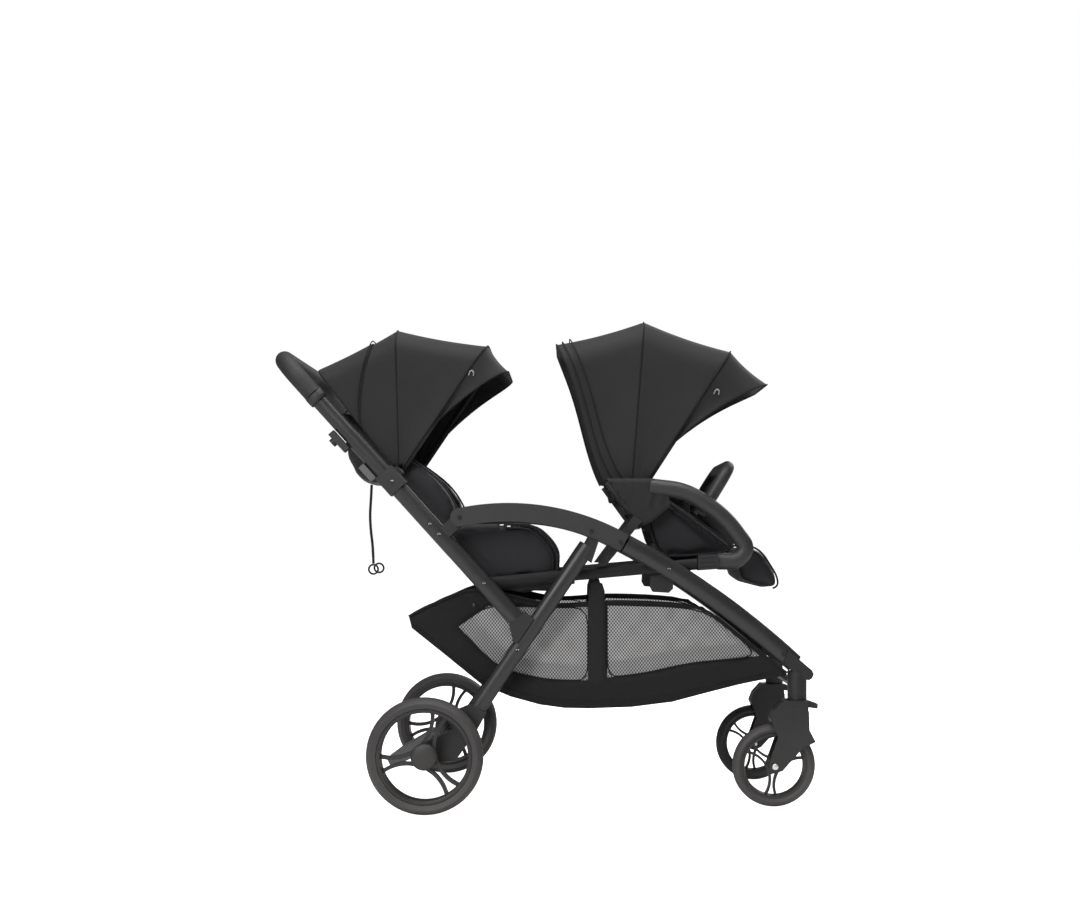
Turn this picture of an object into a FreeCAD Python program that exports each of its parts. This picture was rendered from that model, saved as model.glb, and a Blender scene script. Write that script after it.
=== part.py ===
"""Tandem double stroller: two seats in line, four wheels, a long flat fold.

X points forward, Y to the child's left and Z up.  The origin is on the floor under the middle of
the whole stroller.  Every sub-part is one STEP file; a left and right pair that moves as one body
shares a file as separate solids.  Millimetres throughout.
"""
import FreeCAD, Part
import math
import os

V = FreeCAD.Vector
os.makedirs("parts", exist_ok=True)

# ---------------------------------------------------------------- driving dimensions
FRAME_Y = 235.0            # middle of the handle tubes, side arches and rear legs
RAIL_Y = 203.0             # middle of the seat rails and their struts
RING_Y = 190.0             # middle of the front seat's arm rings
CASTER_Y = 180.0           # middle of the casters
REAR_WHEEL_Y = 280.0       # middle of the rear wheels

HANDLE_AT = V(-241, 0, 603)            # where the handle line passes the side arch
HANDLE_SLOPE = math.radians(132.1)     # the handle line's rise, measured from +X
LOWER_TUBE = (-278.0, 245.0)           # lower handle tube, from its latch end to the slide seam
UPPER_TUBE = (165.0, 368.0)            # sliding upper tube, from inside the lower one to the grip
GRIP_BAR = 473.0                       # distance up the handle line of the grip's cross bar
GRIP_RADIUS = 19.5
HANDLE_PIVOT = V(-179, 0, 617)         # the handle turns here on the arch's rear end
TUBE_DEEP, TUBE_WIDE = 36.0, 26.0      # oval handle tube, along the side view and across
TUBE_WALL = 1.2

ARCH = (V(-179, 0, 617), V(-22, 0, 624.5), V(166, 0, 563))
ARCH_DEEP, ARCH_WIDE, ARCH_WALL = 39.0, 36.0, 3.0
LEG_PIVOT = V(97, 0, 588)              # the rear legs turn here inside the arch
REAR_LEG = (V(90, 0, 557), V(-148, 0, 206))
REAR_LEG_DEEP, REAR_LEG_WIDE = 34.0, 24.0
FRONT_LEG = (V(169, -235, 561.5), V(316, -217, 474), V(531, -182, 306))
FRONT_LEG_DEEP, FRONT_LEG_WIDE = 40.0, 25.0

REAR_AXLE = V(-249, 0, 122)
REAR_WHEEL_R, REAR_TYRE_WIDE, REAR_RIM_R = 122.0, 46.0, 100.0
FRONT_AXLE = V(487, 0, 88.5)
FRONT_WHEEL_R, FRONT_TYRE_WIDE, FRONT_RIM_R = 88.5, 34.0, 70.0
CASTER_X = 537.0                       # swivel axis, ahead of the front axle by the trail
POST_BOTTOM, POST_R = 229.0, 20.5

RAIL = (V(-118, 0, 479), V(322, 0, 518.5))
RAIL_DEEP, RAIL_WIDE = 24.0, 14.0
REAR_CANOPY_PIVOT = V(-316, 0, 712)
FRONT_CANOPY_PIVOT = V(181, 0, 640)
HUB_R = 12.0                           # canopy hub pins
BOW_WIDE, PANEL_WALL, BOW_WALL = 14.0, 3.0, 2.2
# each canopy: (half width, radius) of its fixed back panel, centre panel and visor, and the
# angles of its back hem, centre bow, front bow and visor edge, measured at the pivot from +X
REAR_CANOPY = {"layers": ((152, 300), (159, 318), (166, 332)), "angles": (128.5, 91.0, 55.0, 43.0)}
FRONT_CANOPY = {"layers": ((152, 392), (159, 404), (166, 413)), "angles": (114.0, 86.0, 58.0, 42.0)}
SHOULDER = 62.0                        # rounding where a canopy's side turns into its top
VISOR_FROM = 125.0                     # the visor's side starts this far out from the pivot

REAR_BACK_PIVOT = V(-201, 0, 558.5)
FRONT_BACK_PIVOT = V(196, 0, 612)
PAD_HALF = 141.0                       # half width of both backrests
CALF_PIVOT = V(404, 0, 533)
BUMPER_PIVOT = V(340, 0, 636)
BUMPER_Y, BUMPER_R = 150.0, 14.0
BASKET_HALF, BASKET_WALL = 196.0, 4.0

nodes = {}


# ---------------------------------------------------------------- shapes that repeat
def at_y(point, y):
    """The same point of the side view, moved to the plane at y."""
    return V(point.x, y, point.z)


def pair(shape):
    """A right-hand piece and its left-hand mirror image, as two solids."""
    return Part.makeCompound([shape, shape.mirror(V(0, 0, 0), V(0, 1, 0))])


def plate(outline, y_low, y_high):
    """A side-view outline of (x, z) points, given thickness across the stroller."""
    corners = [V(x, y_low, z) for x, z in outline]
    wire = Part.makePolygon(corners + corners[:1])
    return Part.Face(wire).extrude(V(0, y_high - y_low, 0))


def rod(start, end, radius):
    """A round bar between two points."""
    return Part.makeCylinder(radius, (end - start).Length, start, end - start)


def across(point, y_low, y_high, radius):
    """A round bar that runs across the stroller at one point of the side view."""
    return Part.makeCylinder(radius, y_high - y_low, at_y(point, y_low), V(0, 1, 0))


def oval_wire(centre, along, deep, wide):
    """An ellipse square to the direction along, deep in the side view and wide across."""
    side = V(0, 1, 0)
    up = along.cross(side).normalize()
    level = up.cross(along).normalize()
    curve = Part.Ellipse(centre + up * deep / 2, centre + level * wide / 2, centre)
    return Part.Wire([curve.toShape()])


def oval_tube(start, end, deep, wide, wall):
    """A straight hollow oval tube."""
    run = end - start
    along = V(run).normalize()
    outer = Part.Face(oval_wire(start, along, deep, wide)).extrude(run)
    inner = Part.Face(oval_wire(start, along, deep - 2 * wall, wide - 2 * wall)).extrude(run)
    return outer.cut(inner)


def rounded_path(points, share=0.45):
    """Straight runs joined by tangent arcs, each as large as its two runs allow."""
    edges = []
    here = points[0]
    for before, corner, after in zip(points, points[1:], points[2:]):
        back = (before - corner)
        ahead = (after - corner)
        reach = share * min(back.Length, ahead.Length)
        back_dir = V(back).normalize()
        ahead_dir = V(ahead).normalize()
        begin = corner + back_dir * reach
        finish = corner + ahead_dir * reach
        half = back_dir.getAngle(ahead_dir) / 2
        radius = reach * math.tan(half)
        bisector = (back_dir + ahead_dir).normalize()
        middle = corner + bisector * (reach / math.cos(half) - radius)
        edges.append(Part.LineSegment(here, begin).toShape())
        edges.append(Part.Arc(begin, middle, finish).toShape())
        here = finish
    edges.append(Part.LineSegment(here, points[-1]).toShape())
    return Part.Wire(edges)


def round_tube(points, radius, share=0.45):
    """A solid round bar along a rounded path."""
    path = rounded_path(points, share)
    start = V(points[0])
    along = (points[1] - points[0]).normalize()
    ring = Part.Wire([Part.Circle(start, along, radius).toShape()])
    return path.makePipeShell([ring], True, False)


def up_handle(distance, forward=0.0, y=0.0):
    """A point at a distance up the handle line, and so far in front of it."""
    along = V(math.cos(HANDLE_SLOPE), 0, math.sin(HANDLE_SLOPE))
    ahead = V(math.sin(HANDLE_SLOPE), 0, -math.cos(HANDLE_SLOPE))
    return HANDLE_AT + along * distance + ahead * forward + V(0, y, 0)


def handle_block(u_range, v_range, y_range):
    """A block laid along the handle line: distances up it, in front of it, and across."""
    corners = [(u, v) for u, v in ((u_range[0], v_range[0]), (u_range[1], v_range[0]),
                                   (u_range[1], v_range[1]), (u_range[0], v_range[1]))]
    outline = [(up_handle(u, v).x, up_handle(u, v).z) for u, v in corners]
    return plate(outline, y_range[0], y_range[1])


# ---------------------------------------------------------------- side arches and front legs
def side_arch():
    """A moulded channel, open below, that the rear leg folds up into."""
    curve = Part.Arc(*[at_y(p, -FRAME_Y) for p in ARCH]).toShape().Curve
    centre = curve.Center
    radius = curve.Radius
    first, last = at_y(ARCH[0], -FRAME_Y) - centre, at_y(ARCH[2], -FRAME_Y) - centre
    sweep = math.degrees(first.getAngle(last))

    def bent_bar(deep_up, deep_down, half_wide, extra):
        lead = V(first).normalize()
        corners = [centre + lead * (radius + r) + V(0, y, 0)
                   for r, y in ((-deep_down, -half_wide), (deep_up, -half_wide),
                                (deep_up, half_wide), (-deep_down, half_wide))]
        face = Part.Face(Part.makePolygon(corners + corners[:1]))
        bar = face.revolve(centre, V(0, 1, 0), sweep + extra)
        bar.rotate(centre, V(0, 1, 0), -extra / 2)
        return bar

    half = ARCH_DEEP / 2
    outer = bent_bar(half, half, ARCH_WIDE / 2, 0)
    nose = across(ARCH[0], -FRAME_Y - ARCH_WIDE / 2, -FRAME_Y + ARCH_WIDE / 2, half)
    inner_half = ARCH_WIDE / 2 - ARCH_WALL
    channel = bent_bar(half - ARCH_WALL, half + ARCH_WALL, inner_half, 12)
    return outer.fuse(nose).cut(channel).removeSplitter()


def front_leg():
    """A gently curved oval tube from the arch to the caster knuckle."""
    path = Part.Arc(*FRONT_LEG)
    along = V(path.tangent(path.FirstParameter)[0])
    outer = oval_wire(FRONT_LEG[0], along, FRONT_LEG_DEEP, FRONT_LEG_WIDE)
    return Part.Wire([path.toShape()]).makePipeShell([outer], True, False)


def front_knuckle():
    """The moulded corner that takes the leg's end and holds the caster's post."""
    sleeve = plate([(517, 335), (506, 309), (540, 276), (560, 271), (567, 276), (570, 285),
                    (566, 293), (556, 301)],
                   -CASTER_Y - 19, -CASTER_Y + 16)
    post = Part.makeCylinder(POST_R, 61, V(CASTER_X, -CASTER_Y, POST_BOTTOM))
    bore = Part.makeCylinder(6.2, 42, V(CASTER_X, -CASTER_Y, POST_BOTTOM - 1))
    leg_end = front_leg()
    return sleeve.fuse(post).cut(bore).cut(leg_end).removeSplitter()


nodes["side_arches"] = pair(side_arch())
nodes["front_legs"] = pair(front_leg())
nodes["front_knuckles"] = pair(front_knuckle())

# ---------------------------------------------------------------- seat rails and what they carry
rail = oval_tube(at_y(RAIL[0], -RAIL_Y), at_y(RAIL[1], -RAIL_Y), RAIL_DEEP, RAIL_WIDE, 1.5)
nodes["seat_rails"] = pair(rail)


def rail_strut():
    """A flat brace from the backrest pivot, past the arch, down to the rail."""
    outline = [(187, 621), (205, 610), (128, 515), (108, 515)]
    return plate(outline, -RAIL_Y - 5, -RAIL_Y + 5)


nodes["rail_struts"] = pair(rail_strut())

REAR_CROSS, FRONT_CROSS, CASTER_CROSS = V(45, 0, 494), V(300, 0, 500), V(531, 0, 262)
CROSS_R = 9.0
rail_inside = RAIL_Y - RAIL_WIDE / 2
cross_tubes = [across(REAR_CROSS, -rail_inside, rail_inside, CROSS_R),
               across(FRONT_CROSS, -rail_inside, rail_inside, CROSS_R),
               across(CASTER_CROSS, -CASTER_Y + POST_R - 1, CASTER_Y - POST_R + 1, CROSS_R)]
posts = Part.makeCylinder(POST_R, 61, V(CASTER_X, -CASTER_Y, POST_BOTTOM))
cross_tubes[2] = cross_tubes[2].cut(pair(posts))
nodes["cross_tubes"] = Part.makeCompound(cross_tubes)


def rail_fittings():
    """The ribbed socket between rail and arm ring, and the fold catch hung under the rail."""
    socket = plate([(323, 505), (366, 508), (366, 540), (323, 538)], -216, -178)
    for step in range(3):
        groove = plate([(328, 511 + 9 * step), (362, 513 + 9 * step),
                        (362, 515 + 9 * step), (328, 513 + 9 * step)], -217, -214.5)
        socket = socket.cut(groove)
    catch = plate([(224, 492), (222, 470), (228, 459), (262, 457), (271, 466), (271, 496)],
                  -200, -172)
    return Part.makeCompound([socket, catch.cut(rail)])


fittings = rail_fittings()
nodes["rail_fittings"] = Part.makeCompound(
    fittings.Solids + fittings.mirror(V(0, 0, 0), V(0, 1, 0)).Solids)

RING_ROUTE = [V(222, 0, 683), V(300, 0, 674), V(380, 0, 620), V(430, 0, 552),
              V(408, 0, 524), V(366.5, 0, 524)]
RING_R = 18.0
FRAME_TUBE_Y, FRAME_TUBE_R = 178.0, 7.5
frame_route = [V(132, -FRAME_TUBE_Y, 694), V(200, -FRAME_TUBE_Y, 600),
               V(200, FRAME_TUBE_Y, 600), V(132, FRAME_TUBE_Y, 694)]
nodes["arm_rings"] = pair(round_tube([at_y(p, -RING_Y) for p in RING_ROUTE], RING_R))


def ring_fittings():
    """The clamp that ties ring, seat frame and canopy hub together, and the bumper's socket."""
    clamp = plate([(166, 640), (178, 624), (196, 634), (221.5, 668), (221.5, 698), (206, 692),
                   (168, 658)], -RING_Y - 8, -FRAME_TUBE_Y + 9)
    ring = round_tube([at_y(p, -RING_Y) for p in RING_ROUTE], RING_R)
    pin = across(FRONT_CANOPY_PIVOT, -FRAME_TUBE_Y + 9, -PAD_HALF - 2, HUB_R)
    clamp = clamp.fuse(pin).cut(round_tube(frame_route, FRAME_TUBE_R + 0.05)).cut(ring)
    socket = across(BUMPER_PIVOT, -RING_Y + 13, -BUMPER_Y - 15, 15)
    return [max(clamp.Solids, key=lambda s: s.Volume), socket.cut(ring)]


nodes["ring_fittings"] = Part.makeCompound(
    [solid for shape in ring_fittings() for solid in pair(shape).Solids])

# ---------------------------------------------------------------- seats and basket
BUCKET_WALL = 14.0


def seat_bucket(outline, hollow, half_width):
    """A soft seat base: a padded floor with side wings that slope down to the front."""
    body = plate(outline, -half_width, half_width)
    inside = plate(hollow, -half_width + BUCKET_WALL, half_width - BUCKET_WALL)
    return body.cut(inside)


REAR_BUCKET_HALF, FRONT_BUCKET_HALF = 188.0, 168.0
rear_outline = [(-148, 472), (12, 468), (28, 486), (31, 535), (22, 556), (2, 580), (-28, 604),
                (-98, 606), (-108, 548), (-148, 530)]
rear_hollow = [(-160, 516), (-60, 510), (0, 520), (45, 526), (45, 700), (-160, 700)]
nodes["rear_seat_base"] = seat_bucket(rear_outline, rear_hollow, REAR_BUCKET_HALF)
front_outline = [(238, 524), (392, 536), (396, 554), (267, 648), (226, 662), (214, 640),
                 (222, 575)]
front_hollow = [(200, 566), (300, 556), (420, 562), (420, 720), (200, 720)]
nodes["front_seat_base"] = seat_bucket(front_outline, front_hollow, FRONT_BUCKET_HALF)
rear_board = plate([(-140, 464), (10, 460), (10, 467), (-140, 471)], -176, 176)
front_board = plate([(242, 516), (384, 527), (384, 534), (242, 523)], -160, 160)
nodes["seat_boards"] = Part.makeCompound([rear_board, front_board])

BASKET_OUTLINE = [(-291, 406), (-228, 437), (-152, 466), (-60, 448), (26, 432), (131, 439),
                  (334, 428), (498, 290), (500, 282), (412, 262), (341, 244), (270, 223),
                  (94, 212), (-12, 218), (-136, 260), (-285, 382)]


def basket():
    """A deep fabric tub under both seats, open at the top all the way along."""
    body = plate(BASKET_OUTLINE, -BASKET_HALF, BASKET_HALF)
    corners = [V(x, 0, z) for x, z in BASKET_OUTLINE]
    wire = Part.makePolygon(corners + corners[:1])
    inner = Part.Face(wire.makeOffset2D(-BASKET_WALL))
    if inner.Area > Part.Face(wire).Area:
        inner = Part.Face(wire.makeOffset2D(BASKET_WALL))
    inside_half = BASKET_HALF - BASKET_WALL
    inner.translate(V(0, -inside_half, 0))
    room = inner.extrude(V(0, 2 * inside_half, 0))
    mouth = plate([(-283, 400), (-228, 428), (-152, 457), (-60, 440), (26, 423), (131, 430),
                   (328, 419), (328, 520), (-283, 520)], -inside_half, inside_half)
    return body.cut(room).cut(mouth).removeSplitter()


nodes["basket"] = basket()
nodes["basket_straps"] = pair(plate([(90, 274), (128, 274), (126, 480), (92, 480)],
                                    -BASKET_HALF - 3, -BASKET_HALF - 0.5))


def crotch_buckle(base):
    """A harness buckle standing on its short strap in the middle of a seat."""
    strap = Part.makeBox(3, 25, 42, V(base[0] - 1.5, -12.5, base[1]))
    buckle = Part.makeBox(16, 46, 52, V(base[0] - 8, -23, base[1] + 42))
    return strap.fuse(buckle.makeFillet(5, buckle.Edges)).removeSplitter()


nodes["harness_buckles"] = Part.makeCompound([crotch_buckle((-70, 513)), crotch_buckle((312, 560))])

SCREW_R, SCREW_TALL = 4.2, 2.5
screw_places = [(ARCH[0], FRAME_Y + ARCH_WIDE / 2), (LEG_PIVOT, FRAME_Y + ARCH_WIDE / 2),
                (V(158, 0, 565), FRAME_Y + ARCH_WIDE / 2), (V(506, 0, 325), CASTER_Y + 20.5)]
screws = [across(place, -y - SCREW_TALL, -y, SCREW_R) for place, y in screw_places]
nodes["frame_screws"] = Part.makeCompound([s for screw in screws for s in pair(screw).Solids])


# ---------------------------------------------------------------- rear legs, axle and brake
def rear_leg():
    """The oval leg under the arch, cut back where the latch socket clasps it."""
    return oval_tube(at_y(REAR_LEG[0], -FRAME_Y), at_y(REAR_LEG[1], -FRAME_Y),
                     REAR_LEG_DEEP, REAR_LEG_WIDE, 1.5)


LEG_RUN = (REAR_LEG[1] - REAR_LEG[0])
LEG_DIR = V(LEG_RUN).normalize()
LEG_FRONT = V(-LEG_DIR.z, 0, LEG_DIR.x)        # towards the front of the leg


def leg_point(distance, forward):
    """A side-view point so far down the leg and so far in front of it."""
    point = REAR_LEG[0] + LEG_DIR * distance + LEG_FRONT * forward
    return (point.x, point.z)


def leg_fittings():
    """The hinge tongue inside the arch, and the socket that latches the handle's lower end."""
    solid_leg = Part.Face(oval_wire(at_y(REAR_LEG[0], -FRAME_Y), LEG_DIR, REAR_LEG_DEEP,
                                    REAR_LEG_WIDE)).extrude(LEG_RUN)
    eye = across(LEG_PIVOT, -FRAME_Y - 11, -FRAME_Y + 11, 13)
    tongue = plate([leg_point(-34, -9), leg_point(-34, 9), leg_point(26, 26), leg_point(26, -4)],
                   -FRAME_Y - 11, -FRAME_Y + 11)
    hinge = eye.fuse(tongue).cut(solid_leg).removeSplitter()
    clasp = plate([leg_point(190, -8), leg_point(190, -33), leg_point(230, -44),
                   leg_point(237, -36), leg_point(254, -18), leg_point(251, -8)],
                  -FRAME_Y - 15, -FRAME_Y + 15)
    lower_tube = Part.Face(oval_wire(up_handle(LOWER_TUBE[0] - 2, 0, -FRAME_Y),
                                     up_handle(1) - up_handle(0), TUBE_DEEP + 1,
                                     TUBE_WIDE + 1)).extrude(up_handle(60) - up_handle(0))
    return [max(hinge.Solids, key=lambda s: s.Volume), clasp.cut(solid_leg).cut(lower_tube)]


nodes["rear_legs"] = pair(rear_leg())
nodes["leg_fittings"] = Part.makeCompound(
    [solid for shape in leg_fittings() for solid in pair(shape).Solids])

STUB_R = 6.0


def wheel_bracket():
    """The moulding on the leg's foot that carries the wheel's stub axle behind the leg."""
    foot = plate([leg_point(410, -19), leg_point(410, 20), (-146, 165), (-186, 110),
                  (-249, 98), (-252, 146), (-196, 170)], -FRAME_Y - 14, -FRAME_Y + 14)
    boss = across(REAR_AXLE, -FRAME_Y - 18, -FRAME_Y + 14, 24)
    stub = across(REAR_AXLE, -REAR_WHEEL_Y - 21, -FRAME_Y - 10, STUB_R)
    solid_leg = Part.Face(oval_wire(at_y(REAR_LEG[0], -FRAME_Y), LEG_DIR, REAR_LEG_DEEP,
                                    REAR_LEG_WIDE)).extrude(LEG_RUN)
    return foot.fuse(boss).fuse(stub).cut(solid_leg).removeSplitter()


nodes["wheel_brackets"] = pair(wheel_bracket())
AXLE_TUBE_R = 11.0
nodes["rear_axle_tube"] = across(REAR_AXLE, -FRAME_Y + 14, FRAME_Y - 14, AXLE_TUBE_R)


def brake_pedal():
    """A foot bar that turns on the axle tube; pressed down, it locks both rear wheels."""
    arm = plate([(-238, 137), (-262, 140), (-330, 100), (-357, 80), (-350, 66), (-318, 74),
                 (-262, 102), (-238, 105)], -38, 38)
    barrel = across(REAR_AXLE, -38, 38, 19)
    hole = across(REAR_AXLE, -50, 50, AXLE_TUBE_R + 0.4)
    return arm.fuse(barrel).cut(hole).removeSplitter()


nodes["brake_pedal"] = brake_pedal()


# ---------------------------------------------------------------- wheels and casters
def wheel_tyre(radius, width, seat_radius):
    """A foam tyre: a rounded tread standing on the rim's bed."""
    half = width / 2
    flank = radius - 12
    profile = [V(seat_radius, 0, -half + 4), V(flank, 0, -half), V(radius, 0, 0),
               V(flank, 0, half), V(seat_radius, 0, half - 4)]
    edges = [Part.LineSegment(profile[0], profile[1]).toShape(),
             Part.Arc(profile[1], profile[2], profile[3]).toShape(),
             Part.LineSegment(profile[3], profile[4]).toShape(),
             Part.LineSegment(profile[4], profile[0]).toShape()]
    ring = Part.Face(Part.Wire(edges)).revolve(V(0, 0, 0), V(0, 0, 1), 360)
    ring.rotate(V(0, 0, 0), V(1, 0, 0), 90)
    return ring


def wheel_rim(seat_radius, width, hub_radius, hub_width, bore_radius, first_turn):
    """A moulded rim whose three thin bowed spokes each run past the hub's side."""
    half = width / 2
    barrel = Part.makeCylinder(seat_radius - 0.2, width, V(0, 0, -half))
    barrel = barrel.cut(Part.makeCylinder(seat_radius * 0.91, width + 2, V(0, 0, -half - 1)))
    hub = Part.makeCylinder(hub_radius, hub_width, V(0, 0, -hub_width / 2))
    body = barrel.fuse(hub)
    spoke_wide = seat_radius * 0.075
    reach = seat_radius * 0.95
    for turn in (first_turn, first_turn + 120, first_turn + 240):
        bend = Part.Arc(V(-reach * 0.76, reach * 0.65, 0), V(0, hub_radius * 0.9, 0),
                        V(reach * 0.76, reach * 0.65, 0)).toShape().Curve
        outer = Part.Circle(bend.Center, V(0, 0, 1), bend.Radius + spoke_wide / 2)
        disc = Part.Face(Part.Wire([outer.toShape()])).extrude(V(0, 0, width * 0.42))
        inner = Part.Circle(bend.Center, V(0, 0, 1), bend.Radius - spoke_wide / 2)
        hollow = Part.Face(Part.Wire([inner.toShape()])).extrude(V(0, 0, width * 0.42))
        spoke = disc.cut(hollow)
        spoke.translate(V(0, 0, -width * 0.21))
        spoke = spoke.common(Part.makeCylinder(seat_radius * 0.95, width, V(0, 0, -half)))
        spoke.rotate(V(0, 0, 0), V(0, 0, 1), turn)
        body = body.fuse(spoke)
    body = body.cut(Part.makeCylinder(bore_radius, hub_width + 4, V(0, 0, -hub_width / 2 - 2)))
    body = body.removeSplitter()
    body.rotate(V(0, 0, 0), V(1, 0, 0), 90)
    return body


def caster_fork():
    """A fender-like fork round the tyre's top, with its stem, and the bolt it holds."""
    outline = [(486, 208), (505, 228.5), (558, 228.5), (560, 166), (573, 141), (546, 128),
               (503, 80), (487, 74), (474, 84), (476, 100), (494, 150), (478, 188)]
    body = plate(outline, -CASTER_Y - 27, -CASTER_Y + 27)
    wheel_room = across(FRONT_AXLE, -CASTER_Y - 20, -CASTER_Y + 20, FRONT_WHEEL_R + 5)
    stem = Part.makeCylinder(6, 38, V(CASTER_X, -CASTER_Y, POST_BOTTOM - 1))
    upper = body.cut(wheel_room).fuse(stem)
    top_round = Part.makeCylinder(62, 140, V(CASTER_X - 2, -CASTER_Y, 120))
    upper = upper.common(top_round).fuse(body.cut(wheel_room).common(
        Part.makeBox(120, 60, 128, V(465, -CASTER_Y - 30, 60))))
    lock_room = plate([(557.5, 206), (575, 206), (575, 229), (557.5, 229)],
                      -CASTER_Y - 30, -CASTER_Y + 30)
    bolt_hole = across(FRONT_AXLE, -CASTER_Y - 30, -CASTER_Y + 30, 5.05)
    return upper.cut(lock_room).cut(bolt_hole).removeSplitter()


def front_bolt():
    """The front wheel's steel axle bolt, with a low head on each side of the fork."""
    shank = across(FRONT_AXLE, -CASTER_Y - 27, -CASTER_Y + 27, 5)
    heads = [across(FRONT_AXLE, -CASTER_Y - 29.5, -CASTER_Y - 27, 7),
             across(FRONT_AXLE, -CASTER_Y + 27, -CASTER_Y + 29.5, 7)]
    return shank.fuse(heads[0]).fuse(heads[1]).removeSplitter()


def swivel_lock():
    """The flip tab on the caster's front that stops it swivelling."""
    tab = plate([(558, 213), (579, 210), (580, 220), (558, 228)], -CASTER_Y - 12, -CASTER_Y + 12)
    return tab


RIGHT, LEFT = -1, 1
for side, name in ((RIGHT, "right"), (LEFT, "left")):
    rear_tyre = wheel_tyre(REAR_WHEEL_R, REAR_TYRE_WIDE, REAR_RIM_R)
    rear_rim = wheel_rim(REAR_RIM_R, 34, 24, 40, STUB_R + 0.05, 40)
    front_tyre = wheel_tyre(FRONT_WHEEL_R, FRONT_TYRE_WIDE, FRONT_RIM_R)
    front_rim = wheel_rim(FRONT_RIM_R, 26, 16, 36, 5.05, -6)
    for shape, centre, y in ((rear_tyre, REAR_AXLE, REAR_WHEEL_Y), (rear_rim, REAR_AXLE,
                             REAR_WHEEL_Y), (front_tyre, FRONT_AXLE, CASTER_Y),
                             (front_rim, FRONT_AXLE, CASTER_Y)):
        shape.translate(at_y(centre, side * y))
    nodes["rear_tyre_" + name] = rear_tyre
    nodes["rear_rim_" + name] = rear_rim
    nodes["front_tyre_" + name] = front_tyre
    nodes["front_rim_" + name] = front_rim
    fork, bolt, lock = caster_fork(), front_bolt(), swivel_lock()
    if side == LEFT:
        fork, bolt, lock = [s.mirror(V(0, 0, 0), V(0, 1, 0)) for s in (fork, bolt, lock)]
    nodes["caster_fork_" + name] = Part.makeCompound(fork.Solids + bolt.Solids)
    nodes["swivel_lock_" + name] = lock

# ---------------------------------------------------------------- handle
lower_tube = oval_tube(up_handle(LOWER_TUBE[0], 0, -FRAME_Y), up_handle(LOWER_TUBE[1], 0, -FRAME_Y),
                       TUBE_DEEP, TUBE_WIDE, TUBE_WALL)
nodes["lower_handle_tubes"] = pair(lower_tube)
SLIDE_GAP = 0.4
upper_deep = TUBE_DEEP - 2 * TUBE_WALL - 2 * SLIDE_GAP
upper_wide = TUBE_WIDE - 2 * TUBE_WALL - 2 * SLIDE_GAP


def grip_route(radius_share_start):
    """The U of the push bar: up one side, across, and down the other."""
    return [up_handle(radius_share_start, 0, -FRAME_Y), up_handle(GRIP_BAR, 0, -FRAME_Y),
            up_handle(GRIP_BAR, 0, FRAME_Y), up_handle(radius_share_start, 0, FRAME_Y)]


upper_tube = pair(oval_tube(up_handle(UPPER_TUBE[0], 0, -FRAME_Y),
                            up_handle(UPPER_TUBE[1], 0, -FRAME_Y), upper_deep, upper_wide, 1.5))
bar_core = round_tube(grip_route(UPPER_TUBE[1]), 10.0, 0.62)
nodes["upper_handle_tube"] = Part.makeCompound(upper_tube.Solids + [bar_core])
grip = round_tube(grip_route(UPPER_TUBE[1]), GRIP_RADIUS, 0.62)
nodes["handle_grip"] = grip.cut(round_tube(grip_route(UPPER_TUBE[1]), 10.2, 0.62))


def handle_fittings():
    """Hinge block, canopy bracket with its hub, button housing and backrest boss, one side."""
    keep_out = Part.Face(oval_wire(up_handle(-250, 0, -FRAME_Y), up_handle(1) - up_handle(0),
                                   TUBE_DEEP, TUBE_WIDE)).extrude(up_handle(480) - up_handle(0))
    pivot_u = (HANDLE_PIVOT - HANDLE_AT).dot(up_handle(1) - up_handle(0))
    block = handle_block((pivot_u - 16, pivot_u + 12), (10, 54.5), (-FRAME_Y - 11, -FRAME_Y + 11))
    eye = across(HANDLE_PIVOT, -FRAME_Y - 11, -FRAME_Y + 11, 12)
    hinge = block.fuse(eye).cut(keep_out).removeSplitter()
    clamp = handle_block((98, 146), (-22, 22), (-FRAME_Y - 16, -FRAME_Y + 16)).cut(keep_out)
    hub = across(REAR_CANOPY_PIVOT, -FRAME_Y + 16, -PAD_HALF - 2, HUB_R)
    clamp = clamp.fuse(hub).removeSplitter()
    housing = handle_block((232, 282), (-33, -18.5), (-FRAME_Y - 11, -FRAME_Y + 11))
    button_hole = rod(up_handle(264, -40, -FRAME_Y), up_handle(264, -23, -FRAME_Y), 9.4)
    boss = across(REAR_BACK_PIVOT, -FRAME_Y + 13, -PAD_HALF - 3, 9)
    boss = boss.cut(keep_out)
    return [hinge, clamp, housing.cut(button_hole), boss]


nodes["handle_fittings"] = Part.makeCompound(
    [solid for shape in handle_fittings() for solid in pair(shape).Solids])
for side, name in ((RIGHT, "right"), (LEFT, "left")):
    nodes["slide_button_" + name] = rod(up_handle(264, -40.5, side * FRAME_Y),
                                        up_handle(264, -29, side * FRAME_Y), 9.0)
fold_lever = handle_block((150, 188), (-33, -19), (-FRAME_Y - 9, -FRAME_Y + 9))
nodes["fold_levers"] = pair(fold_lever)


# ---------------------------------------------------------------- backrests
def uv_plate(outline, half_width):
    """An outline of (up the handle line, in front of it) points, as wide as a backrest."""
    corners = [(up_handle(u, v).x, up_handle(u, v).z) for u, v in outline]
    return plate(corners, -half_width, half_width)


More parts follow.
